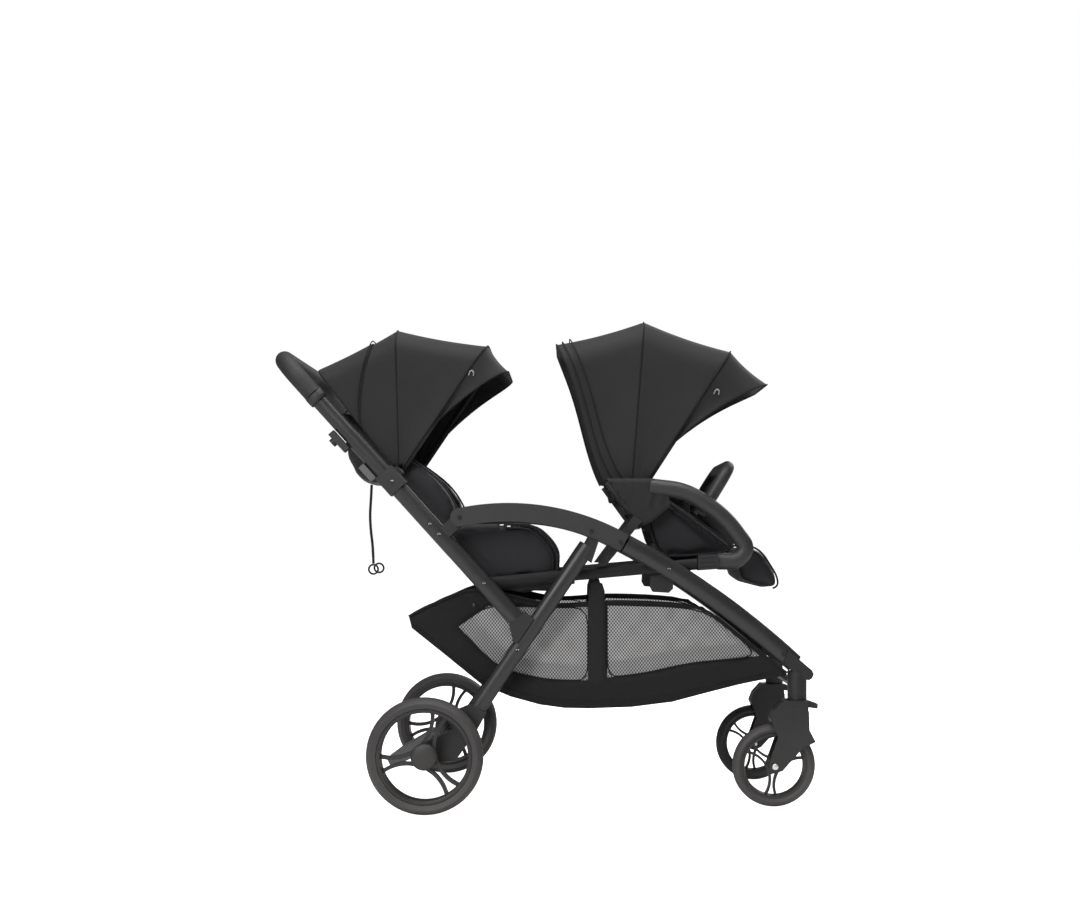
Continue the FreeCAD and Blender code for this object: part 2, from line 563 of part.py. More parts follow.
rear_pad = uv_plate([(-50, -14), (325, -14), (335, 10), (320, 34), (150, 52), (-20, 58),
                     (-46, 44)], PAD_HALF)
nodes["rear_backrest_pad"] = rear_pad
nodes["back_pocket"] = uv_plate([(150, -15), (150, -38), (172, -52), (194, -58), (215, -48),
                                 (252, -42), (262, -15)], 112)
FRONT_PAD = [(190, 616), (228, 632), (205, 690), (116, 896), (100, 904), (74, 892)]
nodes["front_backrest_pad"] = plate(FRONT_PAD, -PAD_HALF, PAD_HALF)
nodes["front_seat_frame"] = round_tube(frame_route, FRAME_TUBE_R)

# the free end of the recline strap, with the two rings at its end
STRAP_ROUTE = [V(-396, 0, 694), V(-397.5, 0, 660), V(-400, 0, 626), V(-398, 0, 590),
               V(-393, 0, 552), V(-392, 0, 516)]
STRAP_R = 3.0
strap = round_tube(STRAP_ROUTE, STRAP_R)
nodes["recline_strap"] = strap
ring = Part.makeTorus(10.5, 2.2, V(-392, 0, 503), V(0, 1, 0))
second = Part.makeTorus(10.5, 2.2, V(-380, 5, 506), V(0, 1, 0.2))
nodes["strap_rings"] = Part.makeCompound([ring, second])


# ---------------------------------------------------------------- canopies
def hoop_face(half_width, radius, inner_radius, wall):
    """The section of a canopy at one angle: two sides, rounded shoulders and a top."""
    def outline(w, r, s, low):
        edges = [Part.LineSegment(V(low, -w, 0), V(r - s, -w, 0)),
                 Part.Arc(V(r - s, -w, 0), V(r - s + s * 0.7071, -w + s - s * 0.7071, 0),
                          V(r, -w + s, 0)),
                 Part.LineSegment(V(r, -w + s, 0), V(r, w - s, 0)),
                 Part.Arc(V(r, w - s, 0), V(r - s + s * 0.7071, w - s + s * 0.7071, 0),
                          V(r - s, w, 0)),
                 Part.LineSegment(V(r - s, w, 0), V(low, w, 0)),
                 Part.LineSegment(V(low, w, 0), V(low, -w, 0))]
        return Part.Face(Part.Wire([e.toShape() for e in edges]))
    outer = outline(half_width, radius, SHOULDER, inner_radius)
    inner = outline(half_width - wall, radius - wall, SHOULDER - wall, inner_radius - 1)
    return outer.cut(inner)


def canopy_panel(pivot, half_width, radius, inner_radius, from_deg, to_deg):
    """A stretched fabric panel between two bows, as a fan about the canopy's pivot."""
    face = hoop_face(half_width, radius, inner_radius, PANEL_WALL)
    panel = face.revolve(V(0, 0, 0), V(0, -1, 0), from_deg - to_deg)
    panel.rotate(V(0, 0, 0), V(0, -1, 0), to_deg)
    panel.translate(pivot)
    return panel


def canopy_bow(pivot, half_width, radius, angle_deg):
    """A flat springy bow that lies just inside its panel's edge."""
    face = hoop_face(half_width - PANEL_WALL - 0.3, radius - PANEL_WALL - 0.3, HUB_R + 2, BOW_WALL)
    bow = face.extrude(V(0, 0, BOW_WIDE))
    bow.rotate(V(0, 0, 0), V(0, -1, 0), angle_deg)
    bow.translate(pivot)
    return bow


for name, pivot, canopy in (("rear", REAR_CANOPY_PIVOT, REAR_CANOPY),
                            ("front", FRONT_CANOPY_PIVOT, FRONT_CANOPY)):
    hem, centre, front, edge = canopy["angles"]
    fixed, middle, visor = canopy["layers"]
    hub = HUB_R + 0.4
    nodes[name + "_canopy_back_panel"] = canopy_panel(pivot, *fixed, hub, hem, centre)
    nodes[name + "_canopy_centre_panel"] = canopy_panel(pivot, *middle, hub, centre, front)
    nodes[name + "_canopy_centre_bow"] = canopy_bow(pivot, *middle, centre - 3)
    nodes[name + "_canopy_visor"] = canopy_panel(pivot, *visor, VISOR_FROM, front, edge)
    nodes[name + "_canopy_front_bow"] = canopy_bow(pivot, *visor, front - 3)

# ---------------------------------------------------------------- bumper bar and calf rest
bumper_route = [at_y(BUMPER_PIVOT, -BUMPER_Y) + V(0, 0, 0), V(396, -BUMPER_Y, 728),
                V(396, BUMPER_Y, 728), at_y(BUMPER_PIVOT, BUMPER_Y)]
bumper = round_tube(bumper_route, BUMPER_R, 0.42)
nodes["bumper_bar"] = bumper
CALF_HALF = 148.0
calf = plate([(418, 549), (440, 558), (466, 545), (485, 516), (499, 500), (503, 470),
              (466, 466), (441, 476), (418, 495), (412, 520)], -CALF_HALF, CALF_HALF)
nodes["calf_rest"] = calf

for name, shape in nodes.items():
    shape.exportStep("parts/" + name + ".step")
    print(name, len(shape.Solids), round(shape.Volume / 1000, 1), "cm3", shape.isValid())
print(len(nodes), "nodes")
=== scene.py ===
"""Tandem double stroller: the looks built round the stroller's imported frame.

X points forward, Y to the child's left and Z up, in metres, from the floor under the middle.
Each section makes one piece or one group of like pieces, with its cloth, plastic or metal.
"""
import math

import bmesh
import bpy
import numpy as np
from mathutils import Matrix, Vector


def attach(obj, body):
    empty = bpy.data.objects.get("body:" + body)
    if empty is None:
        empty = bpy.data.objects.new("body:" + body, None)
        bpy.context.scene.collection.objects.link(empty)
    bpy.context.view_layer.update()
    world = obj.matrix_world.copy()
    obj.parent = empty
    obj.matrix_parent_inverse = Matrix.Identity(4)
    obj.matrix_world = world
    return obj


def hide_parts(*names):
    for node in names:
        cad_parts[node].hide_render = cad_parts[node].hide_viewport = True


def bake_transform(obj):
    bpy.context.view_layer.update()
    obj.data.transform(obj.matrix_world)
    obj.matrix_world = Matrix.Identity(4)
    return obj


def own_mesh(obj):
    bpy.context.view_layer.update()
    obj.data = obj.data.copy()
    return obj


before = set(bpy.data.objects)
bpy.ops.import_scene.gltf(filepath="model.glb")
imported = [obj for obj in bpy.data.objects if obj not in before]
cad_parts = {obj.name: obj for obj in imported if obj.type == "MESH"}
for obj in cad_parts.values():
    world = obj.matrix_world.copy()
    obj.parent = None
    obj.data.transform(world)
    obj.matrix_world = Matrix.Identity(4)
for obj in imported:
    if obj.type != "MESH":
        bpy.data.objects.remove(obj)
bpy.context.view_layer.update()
RIGHT, LEFT = -1, 1
SIDES = ((RIGHT, "right"), (LEFT, "left"))

# ---------------------------------------------------------------- camera, light and floor
# A level view square to the stroller's right side, from a little over three metres away, in a
# pale round studio with one wide lamp overhead, one in front and one behind.
camera = bpy.data.objects.new("camera", bpy.data.cameras.new("camera"))
camera.data.lens = 49.9
camera.data.shift_x = -0.0287
camera.data.shift_y = 0.0815
camera.location = (0.054, -3.38, 0.5736)
camera.rotation_euler = (math.radians(90), 0, 0)
bpy.context.scene.collection.objects.link(camera)
bpy.context.scene.camera = camera
bpy.context.scene.view_settings.view_transform = "Standard"


def soft_lamp(name, place, aim, size, watts):
    """A wide square lamp that looks at a point."""
    lamp = bpy.data.lights.new(name, "AREA")
    lamp.shape = "SQUARE"
    lamp.size = size
    lamp.energy = watts
    holder = bpy.data.objects.new(name, lamp)
    holder.location = place
    holder.rotation_euler = (Vector(aim) - Vector(place)).to_track_quat("-Z", "Y").to_euler()
    bpy.context.scene.collection.objects.link(holder)


soft_lamp("overhead_lamp", (0.2, -0.6, 3.4), (0.0, 0.0, 0.5), 2.4, 95)
soft_lamp("front_lamp", (-1.6, -3.0, 2.2), (0.0, 0.0, 0.5), 1.8, 72)
soft_lamp("back_lamp", (1.8, 2.6, 2.4), (0.0, 0.0, 0.6), 1.8, 40)


def strength_in_view(tree, lighting, in_view):
    """One strength for the light that reaches the object, and another for what is seen directly."""
    path = tree.nodes.new("ShaderNodeLightPath")
    level = tree.nodes.new("ShaderNodeMapRange")
    level.inputs["To Min"].default_value = lighting
    level.inputs["To Max"].default_value = in_view
    tree.links.new(path.outputs["Is Camera Ray"], level.inputs["Value"])
    return level.outputs[0]


SKY_LIGHT, SKY_SEEN = 0.14, 1.0
FLOOR_LIGHT, FLOOR_SEEN = 0.0, 1.1
sky = bpy.data.worlds.new("studio_sky")
sky.use_nodes = True
sky_tree = sky.node_tree
sky_tree.nodes["Background"].inputs["Color"].default_value = (1.0, 1.0, 1.0, 1.0)
sky_tree.links.new(strength_in_view(sky_tree, SKY_LIGHT, SKY_SEEN),
                   sky_tree.nodes["Background"].inputs["Strength"])
bpy.context.scene.world = sky

FLOOR_RADIUS = 40.0
studio = bmesh.new()
bmesh.ops.create_circle(studio, cap_ends=True, segments=64, radius=FLOOR_RADIUS)
floor_mesh = bpy.data.meshes.new("studio_floor")
studio.to_mesh(floor_mesh)
floor = bpy.data.objects.new("studio_floor", floor_mesh)
bpy.context.scene.collection.objects.link(floor)
pale = bpy.data.materials.new("pale_paper")
pale.use_nodes = True
paper = pale.node_tree.nodes["Principled BSDF"]
paper.inputs["Base Color"].default_value = (0.93, 0.93, 0.93, 1)
paper.inputs["Roughness"].default_value = 0.9
paper.inputs["Emission Color"].default_value = (1, 1, 1, 1)
pale.node_tree.links.new(strength_in_view(pale.node_tree, FLOOR_LIGHT, FLOOR_SEEN),
                         paper.inputs["Emission Strength"])
floor_mesh.materials.append(pale)


# ---------------------------------------------------------------- recline strap
# The free tail of the rear seat's recline strap: narrow ribbed webbing that hangs behind the
# handle from its slider and ends in two moulded pull rings.
def value_node(tree, operation, first, second=None, third=None):
    """A Math node with its inputs linked or set."""
    node = tree.nodes.new("ShaderNodeMath")
    node.operation = operation
    for socket, given in zip(node.inputs, (first, second, third)):
        if given is None:
            continue
        if hasattr(given, "is_linked"):
            tree.links.new(given, socket)
        else:
            socket.default_value = given
    return node.outputs[0]


def new_group(name, inputs, outputs):
    """An empty shader node group with float or colour sockets."""
    group = bpy.data.node_groups.new(name, "ShaderNodeTree")
    for label, kind, start in inputs:
        socket = group.interface.new_socket(label, in_out="INPUT", socket_type=kind)
        socket.default_value = start
    for label, kind in outputs:
        group.interface.new_socket(label, in_out="OUTPUT", socket_type=kind)
    return group, group.nodes.new("NodeGroupInput"), group.nodes.new("NodeGroupOutput")


FLOAT, COLOUR = "NodeSocketFloat", "NodeSocketColor"


def noise(tree, scale, detail=2.0, rough=0.5, distort=0.0):
    """Noise on object coordinates."""
    place = tree.nodes.new("ShaderNodeTexCoord")
    node = tree.nodes.new("ShaderNodeTexNoise")
    tree.links.new(place.outputs["Object"], node.inputs["Vector"])
    if hasattr(scale, "is_linked"):
        tree.links.new(scale, node.inputs["Scale"])
    else:
        node.inputs["Scale"].default_value = scale
    node.inputs["Detail"].default_value = detail
    node.inputs["Roughness"].default_value = rough
    node.inputs["Distortion"].default_value = distort
    return node.outputs["Fac"]


def tinted(tree, colour, factor, spread):
    """The colour made lighter and darker by a factor about one half."""
    level = value_node(tree, "MULTIPLY_ADD", value_node(tree, "SUBTRACT", factor, 0.5), spread, 1.0)
    shade = tree.nodes.new("ShaderNodeVectorMath")
    shade.operation = "SCALE"
    tree.links.new(colour, shade.inputs[0])
    tree.links.new(level, shade.inputs["Scale"])
    return shade.outputs[0]


# woven cloth: two sets of threads that cross over and under, slubs, and broad soft shading
woven, given, put = new_group(
    "woven_cloth", [("Colour", COLOUR, (0.03, 0.03, 0.03, 1)), ("Threads", FLOAT, 900.0),
                    ("Mottle", FLOAT, 0.4), ("Rough", FLOAT, 0.75)],
    [("Colour", COLOUR), ("Roughness", FLOAT), ("Height", FLOAT), ("Folds", FLOAT)])
spot = woven.nodes.new("ShaderNodeTexCoord")
axes = woven.nodes.new("ShaderNodeSeparateXYZ")
woven.links.new(spot.outputs["Object"], axes.inputs[0])
threads = given.outputs["Threads"]
lean = value_node(woven, "ADD", axes.outputs[0], value_node(woven, "MULTIPLY", axes.outputs[1], 0.7))
rise = value_node(woven, "ADD", axes.outputs[2], value_node(woven, "MULTIPLY", axes.outputs[1], 0.4))
warp = value_node(woven, "SINE", value_node(woven, "MULTIPLY", lean, threads))
weft = value_node(woven, "SINE", value_node(woven, "MULTIPLY", rise, threads))
crossing = value_node(woven, "MULTIPLY_ADD", value_node(woven, "MULTIPLY", warp, weft), 0.5, 0.5)
slub = noise(woven, 260.0, 3.0, 0.6)
broad = noise(woven, 7.0, 2.0, 0.5, 0.4)
shaded = tinted(woven, given.outputs["Colour"], slub, 0.35)
mottled = tinted(woven, shaded, broad, 0.5)
woven.links.new(mottled, put.inputs["Colour"])
woven.links.new(value_node(woven, "MULTIPLY_ADD", value_node(woven, "SUBTRACT", slub, 0.5),
                           0.22, given.outputs["Rough"]), put.inputs["Roughness"])
woven.links.new(value_node(woven, "MULTIPLY_ADD", slub, 0.5, crossing), put.inputs["Height"])
woven.links.new(noise(woven, 16.0, 3.0, 0.45, 0.7), put.inputs["Folds"])


def bump(tree, height, strength, depth, under=None):
    """A Bump node that lifts the surface by height, over another bump if one is given."""
    node = tree.nodes.new("ShaderNodeBump")
    node.inputs["Strength"].default_value = strength
    node.inputs["Distance"].default_value = depth
    tree.links.new(height, node.inputs["Height"])
    if under is not None:
        tree.links.new(under, node.inputs["Normal"])
    return node.outputs[0]


def cloth_material(name, colour, threads=900.0, rough=0.75, sheen=0.12, fold_depth=0.0012):
    """A woven fabric with its own colour, thread count and softness."""
    material = bpy.data.materials.new(name)
    material.use_nodes = True
    tree = material.node_tree
    shader = tree.nodes["Principled BSDF"]
    shader.inputs["Sheen Weight"].default_value = sheen
    shader.inputs["Sheen Roughness"].default_value = 0.45
    shader.inputs["Specular IOR Level"].default_value = 0.3
    cloth = tree.nodes.new("ShaderNodeGroup")
    cloth.node_tree = woven
    cloth.inputs["Colour"].default_value = (*colour, 1)
    cloth.inputs["Threads"].default_value = threads
    cloth.inputs["Rough"].default_value = rough
    tree.links.new(cloth.outputs["Colour"], shader.inputs["Base Color"])
    tree.links.new(cloth.outputs["Roughness"], shader.inputs["Roughness"])
    folds = bump(tree, cloth.outputs["Folds"], 0.6, fold_depth)
    tree.links.new(bump(tree, cloth.outputs["Height"], 0.35, 0.0003, folds), shader.inputs["Normal"])
    return material


webbing = cloth_material("ribbed_webbing", (0.014, 0.014, 0.015), 1800.0, 0.7)

STRAP_ROUTE = [(-0.396, 0, 0.694), (-0.3975, 0, 0.660), (-0.400, 0, 0.626), (-0.398, 0, 0.590),
               (-0.393, 0, 0.552), (-0.392, 0, 0.516)]
STRAP_WIDE = 0.006
strap_curve = bpy.data.curves.new("recline_strap_tail", "CURVE")
strap_curve.dimensions = "3D"
line = strap_curve.splines.new("NURBS")
line.points.add(len(STRAP_ROUTE) - 1)
for point, place in zip(line.points, STRAP_ROUTE):
    point.co = (*place, 1.0)
line.order_u = 3
line.use_endpoint_u = True
strap_curve.bevel_depth = STRAP_WIDE / 2
strap_curve.bevel_resolution = 3
strap_curve.resolution_u = 12
strap_curve.use_fill_caps = True
strap_tail = bpy.data.objects.new("recline_strap_tail", strap_curve)
bpy.context.scene.collection.objects.link(strap_tail)
strap_curve.materials.append(webbing)
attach(strap_tail, "rear_backrest")
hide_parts("recline_strap")


# ---------------------------------------------------------------- frame tubes and mouldings
# Powder-coated aluminium tube, and black moulded nylon at every joint.  The coat is a fine satin
# grain; the mouldings are a little rougher, with a faint cast texture and dust low down.
grain, given, put = new_group(
    "fine_grain", [("Colour", COLOUR, (0.03, 0.03, 0.03, 1)), ("Scale", FLOAT, 900.0),
                   ("Rough", FLOAT, 0.5), ("Dust", FLOAT, 0.1)],
    [("Colour", COLOUR), ("Roughness", FLOAT), ("Height", FLOAT)])
speck = noise(grain, given.outputs["Scale"], 2.0)
smear = noise(grain, 11.0, 4.0, 0.6, 0.5)
spot = grain.nodes.new("ShaderNodeTexCoord")
axes = grain.nodes.new("ShaderNodeSeparateXYZ")
grain.links.new(spot.outputs["Object"], axes.inputs[0])
lowness = grain.nodes.new("ShaderNodeMapRange")
lowness.inputs["From Min"].default_value = 0.30
lowness.inputs["From Max"].default_value = 0.0
grain.links.new(axes.outputs[2], lowness.inputs["Value"])
dusty = value_node(grain, "MULTIPLY", value_node(grain, "MULTIPLY", smear, lowness.outputs[0]),
                   given.outputs["Dust"])
coated = tinted(grain, tinted(grain, given.outputs["Colour"], smear, 0.35), speck, 0.25)
layer = grain.nodes.new("ShaderNodeMix")
layer.data_type = "RGBA"
grain.links.new(dusty, layer.inputs["Factor"])
grain.links.new(coated, layer.inputs["A"])
layer.inputs["B"].default_value = (0.16, 0.145, 0.125, 1)
grain.links.new(layer.outputs["Result"], put.inputs["Colour"])
grain.links.new(value_node(grain, "MULTIPLY_ADD", value_node(grain, "SUBTRACT", smear, 0.5), 0.25,
                           given.outputs["Rough"]), put.inputs["Roughness"])
grain.links.new(speck, put.inputs["Height"])


def hard_material(name, colour, rough, scale=900.0, metallic=0.0, depth=0.00012, dust=0.25,
                  coat=0.0, specular=0.5):
    """Painted metal, moulded plastic or rubber, with its own grain."""
    material = bpy.data.materials.new(name)
    material.use_nodes = True
    tree = material.node_tree
    shader = tree.nodes["Principled BSDF"]
    shader.inputs["Metallic"].default_value = metallic
    shader.inputs["Coat Weight"].default_value = coat
    shader.inputs["Coat Roughness"].default_value = 0.62
    shader.inputs["Specular IOR Level"].default_value = specular
    cast = tree.nodes.new("ShaderNodeGroup")
    cast.node_tree = grain
    cast.inputs["Colour"].default_value = (*colour, 1)
    cast.inputs["Scale"].default_value = scale
    cast.inputs["Rough"].default_value = rough
    cast.inputs["Dust"].default_value = dust
    tree.links.new(cast.outputs["Colour"], shader.inputs["Base Color"])
    tree.links.new(cast.outputs["Roughness"], shader.inputs["Roughness"])
    tree.links.new(bump(tree, cast.outputs["Height"], 0.5, depth), shader.inputs["Normal"])
    return material


def refinish(material, *names):
    """Gives CAD pieces their finish."""
    for name in names:
        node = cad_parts[name]
        node.data.materials.clear()
        node.data.materials.append(material)


tube_paint = hard_material("graphite_powder_coat", (0.040, 0.0395, 0.040), 0.36, 1400.0, 0.45)
arch_plastic = hard_material("matt_charcoal_moulding", (0.022, 0.022, 0.023), 0.55, 700.0)
black_plastic = hard_material("black_moulding", (0.012, 0.012, 0.013), 0.50, 800.0)
grey_plastic = hard_material("grey_moulding", (0.10, 0.10, 0.105), 0.5, 700.0)
refinish(tube_paint, "front_legs", "rear_legs", "lower_handle_tubes", "upper_handle_tube",
         "rear_axle_tube", "cross_tubes", "front_seat_frame")
refinish(arch_plastic, "side_arches")
refinish(black_plastic, "front_knuckles", "rail_struts", "rail_fittings", "ring_fittings",
         "leg_fittings", "wheel_brackets", "handle_fittings", "seat_boards", "harness_buckles",
         "slide_button_right", "slide_button_left", "strap_rings", "caster_fork_right",
         "caster_fork_left", "swivel_lock_right", "swivel_lock_left",
         "rear_canopy_centre_bow", "rear_canopy_front_bow", "front_canopy_centre_bow",
         "front_canopy_front_bow")
refinish(grey_plastic, "brake_pedal", "fold_levers")
steel = hard_material("blackened_steel", (0.020, 0.020, 0.021), 0.35, 1200.0, 0.3, 0.00005, 0.0)
refinish(steel, "frame_screws")
rail_cover = cloth_material("rail_cover", (0.008, 0.008, 0.0085), 1900.0, 0.6, 0.08, 0.0006)
refinish(rail_cover, "seat_rails")

# ---------------------------------------------------------------- foam covers and grip
# The arm rings and the bumper bar wear a close foam sleeve with a pebbled skin; the push bar is
# wrapped in smooth soft-touch foam.
foam_skin = hard_material("pebbled_foam", (0.026, 0.026, 0.027), 0.5, 420.0, 0.0, 0.0004, 0.0)
grip_skin = hard_material("soft_touch_grip", (0.016, 0.016, 0.017), 0.62, 1100.0, 0.0, 0.0001, 0.0)
refinish(foam_skin, "arm_rings", "bumper_bar")
refinish(grip_skin, "handle_grip")

# ---------------------------------------------------------------- wheels
# Foam tyres on moulded three-spoke rims.
tyre_foam = hard_material("foam_tyre", (0.042, 0.039, 0.040), 0.62, 500.0, 0.0, 0.0003, 0.35)
rim_plastic = hard_material("satin_rim", (0.012, 0.012, 0.013), 0.38, 900.0)
for side in ("right", "left"):
    refinish(tyre_foam, "rear_tyre_" + side, "front_tyre_" + side)
    refinish(rim_plastic, "rear_rim_" + side, "front_rim_" + side)

# ---------------------------------------------------------------- canopies
# Each canopy is a hood of water-repellent cloth sewn over two springy flat bows that turn on hub
# pins.  Taut gores run from a fixed back hem to the centre bow and on to the front bow, and a
# stiffened visor stands out in front.
canopy_cloth = cloth_material("canopy_cloth", (0.0180, 0.0172, 0.0186), 2600.0, 0.74, 0.07, 0.0016)
edge_tape = cloth_material("edge_tape", (0.006, 0.006, 0.0065), 2400.0, 0.8, 0.05, 0.0002)
tab_tape = cloth_material("reflective_tab", (0.30, 0.30, 0.31), 1800.0, 0.45, 0.05, 0.0002)
CLOTH_THICK = 0.0014


def angle_and_reach(place, pivot):
    """A point's angle above +X at the pivot, in degrees, and its distance from the pivot."""
    ahead, above = place.x - pivot[0], place.z - pivot[1]
    return math.degrees(math.atan2(above, ahead)), math.hypot(ahead, above)


def verts_of(geom):
    """The vertices among what an operator made."""
    return [part for part in geom if isinstance(part, bmesh.types.BMVert)]


def draw_hoop(bm, half_width, radius, shoulder, low):
    """A canopy's section, flat in the XY plane: two sides, two rounded shoulders and a crown."""
    foot = bm.verts.new((low, -half_width, 0))
    turn = bm.verts.new((radius - shoulder, -half_width, 0))
    side = bm.edges.new((foot, turn))
    bmesh.ops.spin(bm, geom=[turn], cent=(radius - shoulder, shoulder - half_width, 0),
                   axis=(0, 0, 1), angle=math.radians(90), steps=8, use_duplicate=False)
    crown = max(bm.verts, key=lambda v: v.co.x)
    top = bm.edges.new((crown, bm.verts.new((radius, 0, 0))))
    bmesh.ops.subdivide_edges(bm, edges=[side], cuts=16)
    bmesh.ops.subdivide_edges(bm, edges=[top], cuts=4)
    bmesh.ops.mirror(bm, geom=bm.verts[:] + bm.edges[:], axis="Y", merge_dist=0.0001)


def piece_from(bm, name, material, smooth=True):
    """A finished bmesh as an object of the scene."""
    mesh = bpy.data.meshes.new(name)
    bm.to_mesh(mesh)
    bm.free()
    if smooth:
        mesh.shade_smooth()
    mesh.materials.append(material)
    piece = bpy.data.objects.new(name, mesh)
    bpy.context.scene.collection.objects.link(piece)
    return piece


def thicken(piece, thickness, offset=-1.0):
    """Gives a sheet its thickness."""
    wall = piece.modifiers.new("thickness", "SOLIDIFY")
    wall.thickness = thickness
    wall.offset = offset


def soften(piece, levels=1):
    """Rounds a piece by subdivision."""
    round_off = piece.modifiers.new("rounding", "SUBSURF")
    round_off.levels = levels
    round_off.render_levels = levels


def cord_piece(name, points, radius, material, closed=False, flat=1.0):
    """A sewn cord, wire or bead along a smooth line, made a mesh."""
    curve = bpy.data.curves.new(name, "CURVE")
    curve.dimensions = "3D"
    line = curve.splines.new("NURBS")
    line.points.add(len(points) - 1)
    for point, place in zip(line.points, points):
        point.co = (*place, 1.0)
    line.order_u = 3
    line.use_endpoint_u = True
    line.use_cyclic_u = closed
    curve.bevel_depth = radius
    curve.bevel_resolution = 2
    curve.resolution_u = 3
    curve.use_fill_caps = not closed
    draft = bpy.data.objects.new(name, curve)
    bpy.context.scene.collection.objects.link(draft)
    mesh = bpy.data.meshes.new_from_object(draft)
    bpy.data.objects.remove(draft)
    mesh.name = name
    mesh.materials.clear()
    mesh.materials.append(material)
    mesh.shade_smooth()
    cord = bpy.data.objects.new(name, mesh)
    bpy.context.scene.collection.objects.link(cord)
    return cord


def fan_blend(piece):
    """Cloth between two bows, with its placement baked into its mesh."""
    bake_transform(piece)


# A canopy's "cuts" are its two gores' and its visor's flat width, length and area, measured on the
# finished cloth and rounded.
CANOPIES = {
    "rear": {"pivot": (-0.316, 0.712), "half": 0.163, "bodies": ("handle", "rear_canopy_centre",
             "rear_canopy_front"), "bows": ((128.5, 0.289), (91.5, 0.315), (56.0, 0.338)),
             "tip": (44.0, 0.324), "visor_low": 0.110, "foot": 0.020, "hem": None, "flare": 0.0,
             "tab": (-0.162, 0.930),
             "cuts": ((0.20, 0.84, 0.107), (0.21, 0.86, 0.115), (0.09, 0.72, 0.034))},
    "front": {"pivot": (0.181, 0.640), "half": 0.163, "bodies": ("front_frame",
              "front_canopy_centre", "front_canopy_front"),
              "bows": ((114.0, 0.390), (85.5, 0.407), (57.0, 0.406)),
              "tip": (41.7, 0.404), "visor_low": 0.146, "foot": 0.055, "hem": 0.056, "flare": 22.0,
              "tab": (0.3655, 0.8895),
              "cuts": ((0.21, 1.02, 0.135), (0.21, 1.02, 0.129), (0.12, 0.84, 0.052))},
}
SHOULDER = 0.062
HOOP_R = 0.400
FLARE_CURVE = 2.6
SAG = 0.012                   # how far the cloth sags and is pinched in, as shares of its size
PINCH = 0.030
RIPPLE, RIPPLE_RATE, RIPPLE_FADE = 0.0016, 0.9, 0.16
CROWN_HALF = 0.02
BOW_WIDE, BOW_THICK, BOW_INSET, BOW_FOOT = 0.014, 0.002, 0.004, 0.013
TAB_LOOP = ((-0.004, 0.0, -0.006), (-0.002, 0.004, 0.001), (0.003, 0.006, 0.004),
            (0.008, 0.005, -0.001), (0.006, 0.0, -0.007))


def hem_flare(canopy, height):
    """How many degrees the back hem swings back, most at its foot."""
    return canopy["flare"] * max(1 - height, 0.0) ** FLARE_CURVE


def shape_gore(bm, canopy, first, last, lift=0.0, seam=None, over=False):
    """Draws a spun gore taut between two bows, pinches its sides and lets it sag a little.
    With over, it ends at its seam and lies on the gore below it."""
    (from_angle, from_reach), (to_angle, to_reach) = first, last
    spread = math.radians(from_angle - to_angle)
    for vertex in bm.verts:
        angle, reach = angle_and_reach(vertex.co, canopy["pivot"])
        share = (from_angle - angle) / (from_angle - to_angle)
        height = (reach - canopy["foot"]) / (HOOP_R - canopy["foot"])
        if over:
            angle = from_angle - share * (from_angle - seam(height))
            share = (from_angle - angle) / (from_angle - to_angle)
        chord = (from_reach * to_reach * math.sin(spread)
                 / (from_reach * math.sin(share * spread) + to_reach * math.sin((1 - share) * spread)))
        bow_shape = 4 * share * (1 - share)
        if seam is not None and not over:
            angle = from_angle - share * (from_angle - seam(height))
        if first == canopy["bows"][0]:
            angle += hem_flare(canopy, height) * (1 - share)
        foot = canopy["foot"]
        if canopy["hem"]:
            foot = canopy["hem"] / math.sin(math.radians(angle))
        settled = foot + height * (chord - foot)
        settled *= 1 - SAG * bow_shape * height
        settled += lift
        vertex.co.x = canopy["pivot"][0] + settled * math.cos(math.radians(angle))
        vertex.co.z = canopy["pivot"][1] + settled * math.sin(math.radians(angle))
        pinch = PINCH * bow_shape * math.sin(math.pi * min(max(height, 0.0), 1.0))
        ripple = RIPPLE * math.sin(angle * RIPPLE_RATE) * math.exp(-height / RIPPLE_FADE) * bow_shape
        vertex.co.y *= 1 - pinch
        if abs(vertex.co.y) > CROWN_HALF:
            vertex.co.y += math.copysign(lift + ripple, vertex.co.y)


def gore(name, canopy, first, last, steps, lift=0.0, seam=None, over=False):
    """One sewn gore of the hood, from one bow's angle to the next."""
    bm = bmesh.new()
    draw_hoop(bm, canopy["half"], HOOP_R, SHOULDER, canopy["foot"])
    bmesh.ops.rotate(bm, verts=bm.verts, cent=(0, 0, 0),
                     matrix=Matrix.Rotation(math.radians(-first[0]), 3, "Y"))
    bmesh.ops.spin(bm, geom=bm.verts[:] + bm.edges[:], cent=(0, 0, 0), axis=(0, 1, 0),
                   angle=math.radians(first[0] - last[0]), steps=steps)
    bmesh.ops.translate(bm, verts=bm.verts, vec=(canopy["pivot"][0], 0, canopy["pivot"][1]))
    shape_gore(bm, canopy, first, last, lift, seam, over)
    bmesh.ops.recalc_face_normals(bm, faces=bm.faces)
    outward = max(bm.faces, key=lambda f: f.calc_center_median().z)
    if outward.normal.z < 0:
        bmesh.ops.reverse_faces(bm, faces=bm.faces)
    piece = piece_from(bm, name, canopy_cloth)
    thicken(piece, CLOTH_THICK)
    soften(piece)
    return piece


